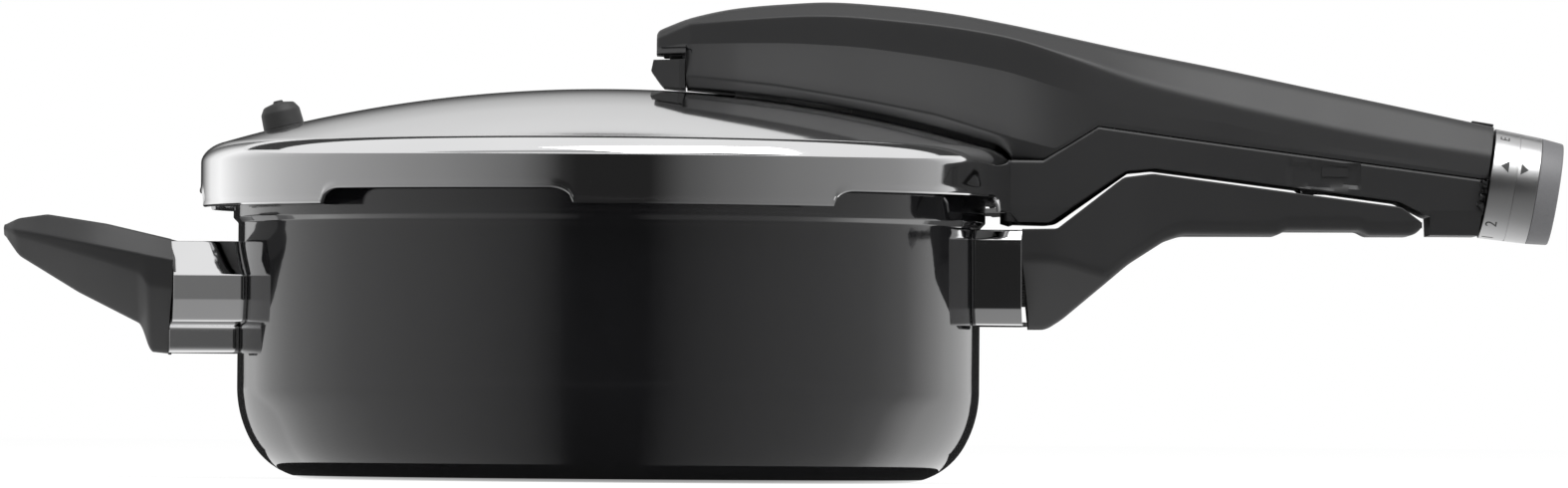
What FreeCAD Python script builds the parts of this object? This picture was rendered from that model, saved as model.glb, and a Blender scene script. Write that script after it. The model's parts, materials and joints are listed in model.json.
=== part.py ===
"""Stovetop pressure cooker: a low pan, a bayonet lid and a handle that holds the pressure control.

Millimetres, +Z up. The origin is the centre of the pan's base, and the long handle points to +X.
The Sizes sheet drives every sketch: the pan's wall and rim place the lid, and they and the control
rod's axis place the handles and what is inside them.
"""
import FreeCAD, Part
import math
import os
import Sketcher

SIZES = {
    "pot_radius": 113.0,        # outside of the pan's wall
    "pot_height": 94.0,         # rim above the table
    "pot_wall": 2.5,
    "base_thickness": 6.0,
    "foot_corner": 22.0,        # radius where the base turns up
    "wall_corner": 34.0,        # radius where that turns into the wall
    "corner_turn": 30.0,        # degrees that the wall corner takes
    "inner_corner": 20.0,
    "band_drop": 15.0,          # the wider band below the rim
    "band_step": 1.5,
    "rim_curl": 1.0,
    "lug_span": 26.0,           # degrees, on the pan and the lid
    "lug_pitch": 75.5,          # degrees from one lug to the next
    "lug_depth": 6.3,           # how far the pan's lugs stand out of the band
    "lug_height": 2.5,
    "lug_drop": 9.0,            # underside of the pan's lugs below the rim
    "lug_play": 1.6,            # from the lid's lugs up to the pan's
    "skirt_offset": 11.5,       # lid skirt outside the pan's wall
    "lid_wall": 1.2,
    "tab_span": 37.0,           # degrees of each low tab on the skirt
    "tab_drop": 12.0,           # the tabs' lower edge below the rim
    "arch_drop": 7.5,           # the arches' edge below the rim
    "shoulder_width": 6.5,
    "shoulder_rise": 7.9,       # edge of the dome above the rim
    "dome_rise": 17.3,          # top of the dome above its edge
    "seal_width": 14.8,
    "seal_gap": 0.3,
    "grip_length": 154.1,       # pan's wall to the dial
    "grip_tilt": 8.9,           # degrees that the control rod falls outwards
    "hood_half": 27.0,          # half width of the handles over the rim
    "grip_half": 16.6,          # half width of the handles in the hand
    "shell_wall": 2.6,
    "lid_gap": 1.1,             # lid handle above the lid
    "guard_length": 15.0,       # flame guard under the long handle
    "helper_guard_length": 21.0,
    "helper_reach": 50.0,       # the short handle beyond its guard
    "rod_lift": 10.24,          # control rod above the lid at the valve
    "rod_radius": 2.5,
    "dial_radius": 16.85,
    "dial_length": 14.6,
    "cap_length": 6.7,
    "valve_radius": 6.1,        # valve body where it passes the lid
    "valve_bore": 5.0,
    "screw_radius": 2.45,
    "running_gap": 0.06,
    "bolt_radius": 2.4,
    "signal_side": 16.0,        # signal pin beside the valve
}


class Size:
    """A size with its value and the sheet expression that gives it, so sums of sizes stay bound."""

    def __init__(self, value, text, driven=True):
        self.value = value
        self.text = text
        self.driven = driven

    def join(self, other, sign, value):
        other = as_size(other)
        text = "(%s %s %s)" % (self.text, sign, other.text)
        return Size(value(self.value, other.value), text, self.driven or other.driven)

    def __add__(self, other):
        return self.join(other, "+", lambda a, b: a + b)

    def __sub__(self, other):
        return self.join(other, "-", lambda a, b: a - b)

    def __mul__(self, other):
        return self.join(other, "*", lambda a, b: a * b)

    def __truediv__(self, other):
        return self.join(other, "/", lambda a, b: a / b)

    def __radd__(self, other):
        return as_size(other) + self

    def __rsub__(self, other):
        return as_size(other) - self

    def __rmul__(self, other):
        return as_size(other) * self

    def __neg__(self):
        return as_size(0) - self


def as_size(number):
    if isinstance(number, Size):
        return number
    return Size(float(number), "(%r)" % float(number), False)


def sine(angle):
    return Size(math.sin(math.radians(angle.value)), "sin(%s)" % angle.text)


def cosine(angle):
    return Size(math.cos(math.radians(angle.value)), "cos(%s)" % angle.text)


def root(square):
    return Size(math.sqrt(square.value), "sqrt(%s)" % square.text)


class Sheet:
    """The document's spreadsheet; reading one of its words as an attribute gives a Size."""

    def __init__(self, document):
        self.cells = document.addObject("Spreadsheet::Sheet", "Sizes")
        for row, (word, value) in enumerate(SIZES.items(), 1):
            self.cells.set("A%d" % row, word)
            self.cells.set("B%d" % row, str(value))
            self.cells.setAlias("B%d" % row, word)
        document.recompute()

    def __getattr__(self, word):
        return Size(float(getattr(self.cells, word)), "Sizes." + word)


doc = FreeCAD.newDocument("PressureCooker")
d = Sheet(doc)
parts = []

# Places that several pieces share.
rim = d.pot_height
skirt = d.pot_radius + d.skirt_offset
shoulder_radius = skirt - d.shoulder_width
shoulder_height = rim + d.shoulder_rise
apex = shoulder_height + d.dome_rise
dome_radius = (shoulder_radius * shoulder_radius + d.dome_rise * d.dome_rise) / (2 * d.dome_rise)
band_radius = d.pot_radius + d.band_step
tilt_sine = sine(d.grip_tilt)
tilt_cosine = cosine(d.grip_tilt)
valve_x = dome_radius * tilt_sine
valve_z = apex - dome_radius * (1 - tilt_cosine)
dial_x = d.pot_radius + d.grip_length
rod_reach = (dial_x - valve_x - d.rod_lift * tilt_sine) / tilt_cosine
dial_z = valve_z - rod_reach * tilt_sine + d.rod_lift * tilt_cosine
pan_guard_end = d.pot_radius + d.guard_length
helper_guard_end = d.pot_radius + d.helper_guard_length
wide = 4 * d.hood_half
UPRIGHT = FreeCAD.Vector(0, 1, 0)


def from_wall(offset):
    return d.pot_radius + offset


def from_rim(offset):
    return rim + offset


def from_dial(offset):
    return dial_x + offset


def from_axis(offset):
    return dial_z + offset


def dome_height(radius, lift=0.0):
    """Height of the dome's outside at a radius, raised by lift along the dome's own radius."""
    outer = dome_radius + lift
    return apex - dome_radius + root(outer * outer - radius * radius)


# ---------------------------------------------------------------- building blocks

def bind(thing, name, amount):
    """Set a property and tie it to the sheet."""
    amount = as_size(amount)
    setattr(thing, name, amount.value)
    if amount.driven:
        thing.setExpression(name, amount.text)


def new_part(node, x=0.0, y=0.0, z=0.0, tilt=None):
    """A body named after its node, standing at x, y, z and tilted about +Y."""
    body = doc.addObject("PartDesign::Body", node)
    body.Label = node
    place = FreeCAD.Vector(as_size(x).value, as_size(y).value, as_size(z).value)
    turn = FreeCAD.Rotation(UPRIGHT, as_size(tilt).value if tilt is not None else 0.0)
    body.Placement = FreeCAD.Placement(place, turn)
    for axis, amount in (("x", x), ("y", y), ("z", z)):
        if as_size(amount).driven:
            body.setExpression("Placement.Base." + axis, as_size(amount).text)
    parts.append(body)
    return body


def origin_feature(body, role):
    return [feature for feature in body.Origin.OriginFeatures if feature.Role == role][0]


def new_sketch(body, plane, lift=0.0, rise=0.0, tilt=None):
    """A sketch on an origin plane, lifted along its normal, raised along its y and tilted about its x."""
    sketch = body.newObject("Sketcher::SketchObject", "Sketch")
    sketch.AttachmentSupport = (origin_feature(body, plane), [""])
    sketch.MapMode = "FlatFace"
    lift = as_size(lift)
    rise = as_size(rise)
    turn = FreeCAD.Rotation(FreeCAD.Vector(1, 0, 0), tilt.value if tilt is not None else 0.0)
    sketch.AttachmentOffset = FreeCAD.Placement(FreeCAD.Vector(0, rise.value, lift.value), turn)
    if lift.driven:
        sketch.setExpression("AttachmentOffset.Base.z", lift.text)
    if rise.driven:
        sketch.setExpression("AttachmentOffset.Base.y", rise.text)
    return sketch


def hold(sketch, kind, place, amount):
    """Add one dimension to a sketch and tie it to the sheet."""
    index = sketch.addConstraint(Sketcher.Constraint(kind, *place, amount.value))
    if amount.driven:
        sketch.setExpression("Constraints[%d]" % index, amount.text)


def arc_between(start, end, radius):
    """Arc from start to end whose centre lies to the left, or to the right for a negative radius."""
    chord = end - start
    left = FreeCAD.Vector(-chord.y, chord.x, 0).normalize()
    sagitta_side = math.sqrt(max(radius * radius - chord.Length ** 2 / 4, 0.0))
    centre = (start + end) / 2 + left * (sagitta_side if radius > 0 else -sagitta_side)
    first, last = (start, end) if radius > 0 else (end, start)
    angles = [math.atan2(point.y - centre.y, point.x - centre.x) for point in (first, last)]
    if angles[1] < angles[0]:
        angles[1] += 2 * math.pi
    circle = Part.Circle(centre, FreeCAD.Vector(0, 0, 1), abs(radius))
    return Part.ArcOfCircle(circle, *angles)


def outline(sketch, corners, arcs=None):
    """Closed outline through corners; arcs gives the signed radius of the edge that leaves a corner."""
    arcs = arcs or {}
    corners = [(as_size(x), as_size(y)) for x, y in corners]
    points = [FreeCAD.Vector(x.value, y.value, 0) for x, y in corners]
    ends = []
    for index, start in enumerate(points):
        end = points[(index + 1) % len(points)]
        radius = as_size(arcs.get(index, 0))
        shape = arc_between(start, end, radius.value) if radius.value else Part.LineSegment(start, end)
        edge = sketch.addGeometry(shape, False)
        ends.append((edge, 1, 2) if radius.value >= 0 else (edge, 2, 1))
    for index, (edge, start, end) in enumerate(ends):
        following = ends[(index + 1) % len(ends)]
        sketch.addConstraint(Sketcher.Constraint("Coincident", edge, end, following[0], following[1]))
        hold(sketch, "DistanceX", (-1, 1, edge, start), corners[index][0])
        hold(sketch, "DistanceY", (-1, 1, edge, start), corners[index][1])
        if index in arcs:
            radius = as_size(arcs[index])
            hold(sketch, "Radius", (edge,), radius if radius.value > 0 else -radius)
    return sketch


def box_outline(sketch, low_x, high_x, low_y, high_y):
    return outline(sketch, [(low_x, low_y), (high_x, low_y), (high_x, high_y), (low_x, high_y)])


def circle(sketch, radius, x=0.0, y=0.0):
    centre = FreeCAD.Vector(as_size(x).value, as_size(y).value, 0)
    edge = sketch.addGeometry(Part.Circle(centre, FreeCAD.Vector(0, 0, 1), as_size(radius).value), False)
    hold(sketch, "DistanceX", (-1, 1, edge, 3), as_size(x))
    hold(sketch, "DistanceY", (-1, 1, edge, 3), as_size(y))
    hold(sketch, "Radius", (edge,), as_size(radius))
    return sketch


def linear(kind, body, sketch, length, both, back):
    feature = body.newObject("PartDesign::" + kind, kind)
    feature.Profile = sketch
    bind(feature, "Length", length)
    feature.Midplane = both
    feature.Reversed = back
    return feature


def pad(body, sketch, length, both=False, back=False):
    return linear("Pad", body, sketch, length, both, back)


def pocket(body, sketch, length, both=False, back=False):
    """Cut against the sketch's normal, along it with back, or both ways."""
    return linear("Pocket", body, sketch, length, both, back)


def turned(kind, body, sketch, axis="V_Axis", angle=360.0):
    feature = body.newObject("PartDesign::" + kind, kind)
    feature.Profile = sketch
    feature.ReferenceAxis = (sketch, [axis])
    bind(feature, "Angle", angle)
    feature.Midplane = as_size(angle).value < 360
    return feature


def revolve(body, corners, arcs=None, angle=360.0):
    return turned("Revolution", body, outline(new_sketch(body, "XZ_Plane"), corners, arcs), angle=angle)


def groove(body, corners, arcs=None):
    return turned("Groove", body, outline(new_sketch(body, "XZ_Plane"), corners, arcs))


def side_pad(body, corners, width, arcs=None):
    """Side view outline, as wide as width and centred on the handles' middle plane."""
    return pad(body, outline(new_sketch(body, "XZ_Plane"), corners, arcs), width, both=True)


def side_pocket(body, corners, width):
    return pocket(body, outline(new_sketch(body, "XZ_Plane"), corners), width, both=True)


def tilted_sketch(body, along=0.0):
    """A sketch square to the control rod, its origin on the rod, along the rod from the dial's face."""
    along = as_size(along)
    return new_sketch(body, "YZ_Plane", dial_x + along * tilt_cosine, dial_z - along * tilt_sine,
                      d.grip_tilt)


def valve_sketch(body, across=0.0, lift=0.0):
    """A sketch square to the valve, its origin on the dome's surface where the valve stands."""
    sketch = body.newObject("Sketcher::SketchObject", "Sketch")
    sketch.AttachmentSupport = (origin_feature(body, "XY_Plane"), [""])
    sketch.MapMode = "FlatFace"
    place = {"x": valve_x + tilt_sine * lift, "y": as_size(across), "z": valve_z + tilt_cosine * lift}
    base = FreeCAD.Vector(*[amount.value for amount in place.values()])
    sketch.AttachmentOffset = FreeCAD.Placement(base, FreeCAD.Rotation(UPRIGHT, d.grip_tilt.value))
    for axis, amount in place.items():
        if amount.driven:
            sketch.setExpression("AttachmentOffset.Base." + axis, amount.text)
    return sketch


def five_lugs(body, corners, span):
    """A lug on the +X side and two more each way round, one pitch apart."""
    for step in range(-2, 3):
        sketch = new_sketch(body, "XZ_Plane")
        turn = FreeCAD.Rotation(FreeCAD.Vector(0, 1, 0), step * d.lug_pitch.value)
        sketch.AttachmentOffset = FreeCAD.Placement(FreeCAD.Vector(0, 0, 0), turn)
        turned("Revolution", body, outline(sketch, corners), angle=span)


def screw(body, shank_radius, shank_length, head_radius, head_length, toward):
    """Screw along local X with its head's underside at the origin; toward is the shank's direction."""
    corners = [(-toward * head_length, 0), (toward * shank_length, 0), (toward * shank_length, shank_radius),
               (0, shank_radius), (0, head_radius), (-toward * head_length, head_radius)]
    turned("Revolution", body, outline(new_sketch(body, "XZ_Plane"), corners), "H_Axis")
    hexagon = [(head_radius * 0.5 * math.cos(math.radians(60 * k)),
                head_radius * 0.5 * math.sin(math.radians(60 * k))) for k in range(6)]
    socket = outline(new_sketch(body, "YZ_Plane", -toward * head_length), hexagon)
    pocket(body, socket, head_length * 0.6, back=toward > 0)


def lid_clearance(body, lift):
    """Cut away everything nearer to the lid's outside than lift."""
    edge = shoulder_radius + lift * 0.3
    outer = skirt + 0.5 + lift * 0.6
    corners = [(0, from_rim(-40)), (outer, from_rim(-40)), (outer, from_rim(3)),
               (edge, dome_height(edge, lift)), (0, apex + lift)]
    groove(body, corners, {2: d.shoulder_width + lift, 3: dome_radius + lift})


# ---------------------------------------------------------------- pan

def make_pot():
    body = new_part("pot")
    turn_sine = sine(d.corner_turn)
    turn_cosine = cosine(d.corner_turn)
    wall_centre = d.pot_radius - d.wall_corner
    foot_flat = wall_centre + (d.wall_corner - d.foot_corner) * turn_cosine
    turn_height = d.foot_corner * (1 - turn_sine)
    wall_start = turn_height + d.wall_corner * turn_sine
    join_radius = wall_centre + d.wall_corner * turn_cosine
    inside = d.pot_radius - d.pot_wall
    corners = [(0, 0), (foot_flat, 0), (join_radius, turn_height), (d.pot_radius, wall_start),
               (d.pot_radius, rim - d.band_drop - 1), (band_radius, rim - d.band_drop + 1),
               (band_radius, rim - 2.5), (band_radius + d.rim_curl, rim - 1), (band_radius + d.rim_curl, rim),
               (inside, rim), (inside, d.base_thickness + d.inner_corner),
               (inside - d.inner_corner, d.base_thickness), (0, d.base_thickness)]
    revolve(body, corners, {1: d.foot_corner, 2: d.wall_corner, 10: -d.inner_corner})
    lug_low = rim - d.lug_drop
    lug_high = lug_low + d.lug_height
    root_radius = band_radius - 0.5
    tip = band_radius + d.lug_depth
    five_lugs(body, [(root_radius, lug_low), (tip, lug_low), (tip, lug_high), (root_radius, lug_high)],
              d.lug_span)


def guard_section(half, low_half, high, waist, low, inset=0.0):
    """Section of a flame guard: flat top, upright sides, and a narrow foot."""
    return [(-(low_half - inset), low + inset), (low_half - inset, low + inset), (half - inset, waist),
            (half - inset, high - inset), (-(half - inset), high - inset), (-(half - inset), waist)]


def ring_trim(body, inner, outer):
    """Keep only what lies between two radii about the pan's axis."""
    low = from_rim(-90)
    high = from_rim(60)
    groove(body, [(0, low), (inner, low), (inner, high), (0, high)])
    far = outer + 100
    groove(body, [(outer, low), (far, low), (far, high), (outer, high)])


def make_flame_guard(node, side, end, section, inner_section):
    body = new_part(node)
    start = side * (d.pot_radius - 8)
    reach = end - d.pot_radius + 12
    pad(body, outline(new_sketch(body, "YZ_Plane", start), section), reach, back=side < 0)
    cutter = outline(new_sketch(body, "YZ_Plane", start), inner_section)
    pocket(body, cutter, reach, back=side > 0)
    ring_trim(body, d.pot_radius + 0.05, end - 0.05)


def make_bracket(node, side, end, height):
    """Steel block welded to the wall, tapped for the handle's screw."""
    body = new_part(node)
    start = side * (d.pot_radius + 0.05)
    length = end - d.pot_radius - 0.5
    section = box_outline(new_sketch(body, "YZ_Plane", start), -7, 7, height - 6, height + 6)
    pad(body, section, length, back=side < 0)
    hole = circle(new_sketch(body, "YZ_Plane", side * (end - 0.45)), d.screw_radius + 0.05, 0, height)
    pocket(body, hole, length - 1.5, back=side < 0)


pan_screw_height = from_rim(-34)
helper_screw_height = from_rim(-40)


def make_pan_guard():
    section = guard_section(d.hood_half, 8, from_rim(-17), from_rim(-26), from_rim(-46))
    inner = guard_section(d.hood_half, 8, from_rim(-17), from_rim(-26), from_rim(-46), 1.2)
    make_flame_guard("pan_flame_guard", 1, pan_guard_end, section, inner)


def make_helper_guard():
    section = guard_section(d.hood_half - 1, 9, from_rim(-22.2), from_rim(-38), from_rim(-56.1))
    inner = guard_section(d.hood_half - 1, 9, from_rim(-22.2), from_rim(-38), from_rim(-56.1), 1.2)
    make_flame_guard("helper_flame_guard", -1, helper_guard_end, section, inner)


def taper_sides(body, stations):
    """Trim both sides to half widths given along X; stations run from low X to high X."""
    far = wide
    for side in (1, -1):
        near = [(x, side * half) for x, half in stations]
        loop = near + [(stations[-1][0], side * far), (stations[0][0], side * far)]
        cutter = outline(new_sketch(body, "XY_Plane", from_rim(60)), loop)
        pocket(body, cutter, from_rim(60))


pan_parting = [(from_wall(5), from_rim(-16.8)), (from_wall(25.5), from_rim(-16.4)),
               (from_wall(44.5), from_rim(-0.6)), (from_wall(53), from_rim(0.6)),
               (from_dial(-26.1), from_axis(-7.65)), (from_dial(-19.9), from_axis(-12.25)),
               (from_dial(-19.9), from_axis(-40))]
lid_parting = [(from_wall(5), from_rim(-14.6)), (from_wall(22.6), from_rim(-15)),
               (from_wall(24.2), from_rim(-14)), (from_wall(45), from_rim(0.9)),
               (from_wall(53.5), from_rim(1.8)), (from_dial(-27.1), from_axis(-6.35)),
               (from_dial(-18.2), from_axis(-10.75)), (from_dial(-18.2), from_axis(-40))]
bolt_x = from_dial(-54.1)
bolt_underside = from_axis(-3.45)


def make_pan_handle():
    body = new_part("pan_handle")
    side_pad(body, [(from_wall(10), from_rim(-47)), (from_wall(20.2), from_rim(-46.9)),
                    (from_wall(24.7), from_rim(-44)), (from_wall(44.5), from_rim(-27.1)),
                    (from_wall(55.6), from_rim(-19.9)), (from_wall(61), from_rim(-18)),
                    (from_dial(-18), from_axis(-16.4)), (from_dial(-18), from_rim(4)),
                    (from_wall(10), from_rim(4))], 2 * d.hood_half)
    taper_sides(body, [(from_wall(-5), d.hood_half), (from_wall(20), d.hood_half),
                       (from_wall(50), d.grip_half + 3.5), (from_wall(85), d.grip_half),
                       (from_dial(0), d.grip_half)])
    for side in (1, -1):
        corner = [(side * d.hood_half, from_rim(-26)), (side * 8, from_rim(-47.5)),
                  (side * wide, from_rim(-47.5)), (side * wide, from_rim(-26))]
        pocket(body, outline(new_sketch(body, "YZ_Plane", from_wall(90)), corner), from_wall(90))
    high = from_rim(60)
    groove(body, pan_parting + [(from_dial(60), from_axis(-40)), (from_dial(60), high), (from_wall(5), high)])
    groove(body, [(0, from_rim(-60)), (pan_guard_end, from_rim(-60)), (pan_guard_end, high), (0, high)])
    head = circle(new_sketch(body, "YZ_Plane", from_wall(60)), 5, 0, pan_screw_height)
    pocket(body, head, 34)
    shank = circle(new_sketch(body, "YZ_Plane", from_wall(60)), d.screw_radius + 0.1, 0, pan_screw_height)
    pocket(body, shank, 60)
    keeper = circle(new_sketch(body, "XY_Plane", from_axis(10)), d.bolt_radius + 0.9, bolt_x, 0)
    pocket(body, keeper, 17)


def make_pan_screw():
    body = new_part("pan_handle_screw", from_wall(26.05), 0, pan_screw_height)
    screw(body, d.screw_radius, 22, 4.4, 3.4, -1)


def make_helper_handle():
    body = new_part("helper_handle")
    tip = -(helper_guard_end + d.helper_reach)
    root_x = -(helper_guard_end - 3)
    side_pad(body, [(root_x, from_rim(-56.6)), (root_x, from_rim(-22)), (tip + 32, from_rim(-17.2)),
                    (tip + 13.7, from_rim(-14.4)), (tip + 4.6, from_rim(-15.6)), (tip, from_rim(-17.6)),
                    (tip + 0.4, from_rim(-20.4)), (tip + 4.6, from_rim(-26.9)),
                    (tip + 22.8, from_rim(-37.9)), (-(helper_guard_end + 8), from_rim(-47.5)),
                    (-(helper_guard_end + 5.2), from_rim(-55.8)),
                    (-(helper_guard_end + 4.4), from_rim(-56.6))], 2 * d.hood_half)
    taper_sides(body, [(tip - 5, 8), (tip, 9), (tip + 4, 15), (tip + 14, 20), (tip + 30, d.hood_half - 2.5),
                       (root_x, d.hood_half - 1)])
    for side in (1, -1):
        corner = [(side * (d.hood_half + 1), from_rim(-32)), (side * 20, from_rim(-38)),
                  (side * 9, from_rim(-48)), (side * 9, from_rim(-60)), (side * wide, from_rim(-60)),
                  (side * wide, from_rim(-32))]
        cutter = outline(new_sketch(body, "YZ_Plane", tip + 20), corner)
        pocket(body, cutter, 50, back=True)
    groove(body, [(0, from_rim(-60)), (helper_guard_end, from_rim(-60)), (helper_guard_end, rim), (0, rim)])
    slot = box_outline(new_sketch(body, "XY_Plane", from_rim(0)), tip + 21, tip + 44, -13, 13)
    pocket(body, slot, 22.5)
    place = new_sketch(body, "YZ_Plane", tip - 5)
    pocket(body, circle(place, 5, 0, helper_screw_height), d.helper_reach + 5 - 11, back=True)
    place = new_sketch(body, "YZ_Plane", tip - 5)
    shank = circle(place, d.screw_radius + 0.1, 0, helper_screw_height)
    pocket(body, shank, d.helper_reach + 20, back=True)


def make_helper_screw():
    body = new_part("helper_handle_screw", -(helper_guard_end + 11), 0, helper_screw_height)
    screw(body, d.screw_radius, 28, 4.4, 3.4, 1)


# ---------------------------------------------------------------- seal and lid

def make_sealing_ring():
    body = new_part("sealing_ring")
    low = rim + d.seal_gap
    outer = skirt - d.lid_wall - 1
    inner = outer - d.seal_width
    revolve(body, [(inner, low), (outer, low), (outer, low + 2), (outer - 1.3, low + 4.3),
                   (outer - 4.3, low + 5.6), (inner + 3, low + 5.9), (inner, low + 3.7)])


def make_lid():
    body = new_part("lid")
    wall = d.lid_wall
    arch = rim - d.arch_drop
    bend = from_rim(2.2)
    inner_edge = shoulder_radius - 0.2
    inner_dome = dome_radius - wall
    inner_edge_height = apex - dome_radius + root(inner_dome * inner_dome - inner_edge * inner_edge)
    corners = [(0, apex), (0, apex - wall), (inner_edge, inner_edge_height), (skirt - wall, bend),
               (skirt - wall, arch), (skirt, arch), (skirt, bend), (shoulder_radius, shoulder_height)]
    arcs = {1: -inner_dome, 2: -(d.shoulder_width - wall), 6: d.shoulder_width, 7: dome_radius}
    revolve(body, corners, arcs)
    tab_low = rim - d.tab_drop
    inner = skirt - wall
    five_lugs(body, [(inner, tab_low), (skirt, tab_low), (skirt, arch + 0.5), (inner, arch + 0.5)], d.tab_span)
    lug_high = rim - d.lug_drop - d.lug_play
    inside = band_radius + 2
    five_lugs(body, [(inside, tab_low), (skirt - 0.4, tab_low), (skirt - 0.4, lug_high), (inside, lug_high)],
              d.lug_span)
    pocket(body, circle(valve_sketch(body), d.valve_radius + 0.2), 60, both=True)
    pocket(body, circle(valve_sketch(body, d.signal_side), 3), 60, both=True)
    safety = new_sketch(body, "YZ_Plane", safety_x, safety_z, as_size(90) + safety_tilt)
    pocket(body, circle(safety, 4), 60, both=True)


safety_x = -(d.pot_radius - 13.5)
safety_z = dome_height(-safety_x)
safety_tilt = Size(-math.degrees(math.asin(-safety_x.value / dome_radius.value)), "", False)


def make_safety_valve():
    """Rubber plug buttoned through the lid, with the steel ball that it grips."""
    wall = d.lid_wall
    plug = new_part("safety_valve_cap", safety_x, 0, safety_z, safety_tilt)
    revolve(plug, [(1.6, -3.6), (5.4, -3.4), (5.4, -(wall + 0.1)), (3.95, -(wall + 0.1)), (3.95, 0.1),
                   (6.25, 0.1), (6.1, 4.2), (3.2, 7.2), (1.4, 7.5), (1.4, 8.3), (0, 8.3), (0, 0.6),
                   (1.6, -1.0)])
    ball = doc.addObject("Part::Sphere", "safety_valve_ball")
    ball.Label = "safety_valve_ball"
    ball.Radius = 1.5
    place = plug.Placement.multiply(FreeCAD.Placement(FreeCAD.Vector(0, 0, -2.3), FreeCAD.Rotation()))
    ball.Placement = place
    parts.append(ball)


def valve_part(node, across=0.0):
    return new_part(node, valve_x, across, valve_z, d.grip_tilt)


def make_valve():
    outer = d.valve_radius
    bore = d.valve_bore
    wall = d.lid_wall
    body = valve_part("valve_body")
    revolve(body, [(2, -8), (outer, -8), (outer, 1.5), (10.4, 1.5), (10.4, 3.5), (outer + 0.5, 3.5),
                   (outer + 0.5, 14), (bore, 14), (bore, -6), (2, -6)])
    gasket = valve_part("valve_gasket")
    revolve(gasket, [(outer + 0.1, 0.02), (10.2, 0.02), (10.2, 1.48), (outer + 0.1, 1.48)])
    nut = valve_part("valve_nut")
    nut_top = -(wall + 0.16)
    revolve(nut, [(outer + 0.05, nut_top - 4), (9.2, nut_top - 4), (9.2, nut_top), (outer + 0.05, nut_top)])
    clamp = valve_part("handle_nut")
    revolve(clamp, [(outer + 0.55, 6.2), (9.6, 6.2), (9.6, 9), (outer + 0.55, 9)])
    plunger = valve_part("valve_plunger")
    revolve(plunger, [(0, -7), (1.7, -7), (1.9, -5.95), (bore - 0.3, -5.95), (bore - 0.3, -4.6), (1.6, -4.6),
                      (1.6, 5), (0, 5)])
    spring = valve_part("valve_spring")
    wire = circle(new_sketch(spring, "XZ_Plane"), 0.35, 3.3, -4.1)
    coil = spring.newObject("PartDesign::AdditiveHelix", "Coil")
    coil.Profile = wire
    coil.ReferenceAxis = (wire, ["V_Axis"])
    coil.Mode = "pitch-height-angle"
    coil.Pitch = 1.9
    coil.Height = 13.2
    coil.Angle = 0


RAMP = 0.3
RAMP_HEIGHT = 17.5


def make_spring_seat():
    body = valve_part("spring_seat")
    revolve(body, [(0, 9.8), (d.valve_bore - 0.15, 9.8), (d.valve_bore - 0.15, 20), (0, 20)])
    gap = 0.1
    ramp = RAMP_HEIGHT - gap
    side_pocket(body, [(-8, ramp - 8 * RAMP), (8, ramp + 8 * RAMP), (8, 30), (-8, 30)],
                20)


def make_wedge():
    """Nut on the rod's thread, with a sloped arm over the spring seat."""
    body = valve_part("control_wedge")
    side_pad(body, [(16, 6.8), (30, 6.8), (30, 16), (24, 22), (-8, 22), (-8, RAMP_HEIGHT - 8 * RAMP),
                    (9, RAMP_HEIGHT + 9 * RAMP), (16, RAMP_HEIGHT + 9 * RAMP)], 14)
    thread = circle(new_sketch(body, "YZ_Plane", 8), d.rod_radius + d.running_gap, 0, d.rod_lift)
    pocket(body, thread, 30, back=True)


def make_signal():
    grommet = valve_part("signal_grommet", d.signal_side)
    revolve(grommet, [(2.15, -2.9), (4, -2.9), (4, -2.0), (2.9, -2.0), (2.9, -0.1), (4, -0.1), (4, 2.1),
                      (2.15, 2.1)])
    pin = valve_part("signal_pin", d.signal_side)
    revolve(pin, [(0, -11), (3.2, -11), (3.2, -9.2), (2.05, -9.2), (2.05, 2.2), (3, 2.2), (3, 3.2),
                  (2.05, 3.2), (2.05, 28.6), (1.5, 29.2), (0, 29.2)])


# ---------------------------------------------------------------- lid handle

def station(x, half, top, crease, waist):
    """One section of the top shell: where it is, half its width, and the heights of its three edges."""
    return {"x": x, "half": as_size(half), "top": top, "crease": crease, "waist": waist}


STATIONS = [
    station(from_wall(-98), 10, from_rim(43), from_rim(41), from_rim(37)),
    station(from_wall(-89), d.hood_half - 8, from_rim(47), from_rim(45.1), from_rim(38.8)),
    station(from_wall(-83), d.hood_half - 6, from_rim(48.6), from_rim(45.6), from_rim(38.9)),
    station(from_wall(-73), d.hood_half - 4, from_rim(50.3), from_rim(46.2), from_rim(39)),
    station(from_wall(-47), d.hood_half - 2, from_rim(52.1), from_rim(47.5), from_rim(38.6)),
    station(from_wall(-21), d.hood_half - 0.5, from_rim(50.4), from_rim(45.6), from_rim(35.9)),
    station(from_wall(5), d.hood_half, from_rim(46.4), from_rim(42), from_rim(31.5)),
    station(from_wall(27), d.grip_half + 7.9, from_rim(41.9), from_rim(35.5), from_rim(25)),
    station(from_wall(50), d.grip_half + 3.9, from_rim(37.2), from_rim(28.1), from_rim(18)),
    station(from_wall(72), d.grip_half + 1.2, from_rim(33), from_rim(22.7), from_rim(13)),
    station(from_dial(-42.1), d.grip_half, from_axis(26.2), from_axis(15), from_axis(7)),
    station(from_dial(3), d.grip_half, from_axis(16.2), from_axis(9), from_axis(0)),
]
FRONT_CAVITY = slice(2, 7)
REAR_CAVITY = slice(8, 11)


def shell_section(body, place, inset):
    half = place["half"] - inset
    low = from_rim(-25)
    right = [(half, low), (half, place["waist"] - inset * 0.5), (half * 0.88, place["crease"] - inset * 0.8),
             (half * 0.5, place["top"] - inset)]
    left = [(-x, z) for x, z in reversed(right)]
    return outline(new_sketch(body, "YZ_Plane", place["x"]), right + left)


def shell_loft(kind, body, places, inset=0.0):
    sections = [shell_section(body, place, inset) for place in places]
    loft = body.newObject("PartDesign::" + kind, kind)
    loft.Profile = sections[0]
    loft.Sections = sections[1:]
    loft.Ruled = True
    return loft


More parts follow.
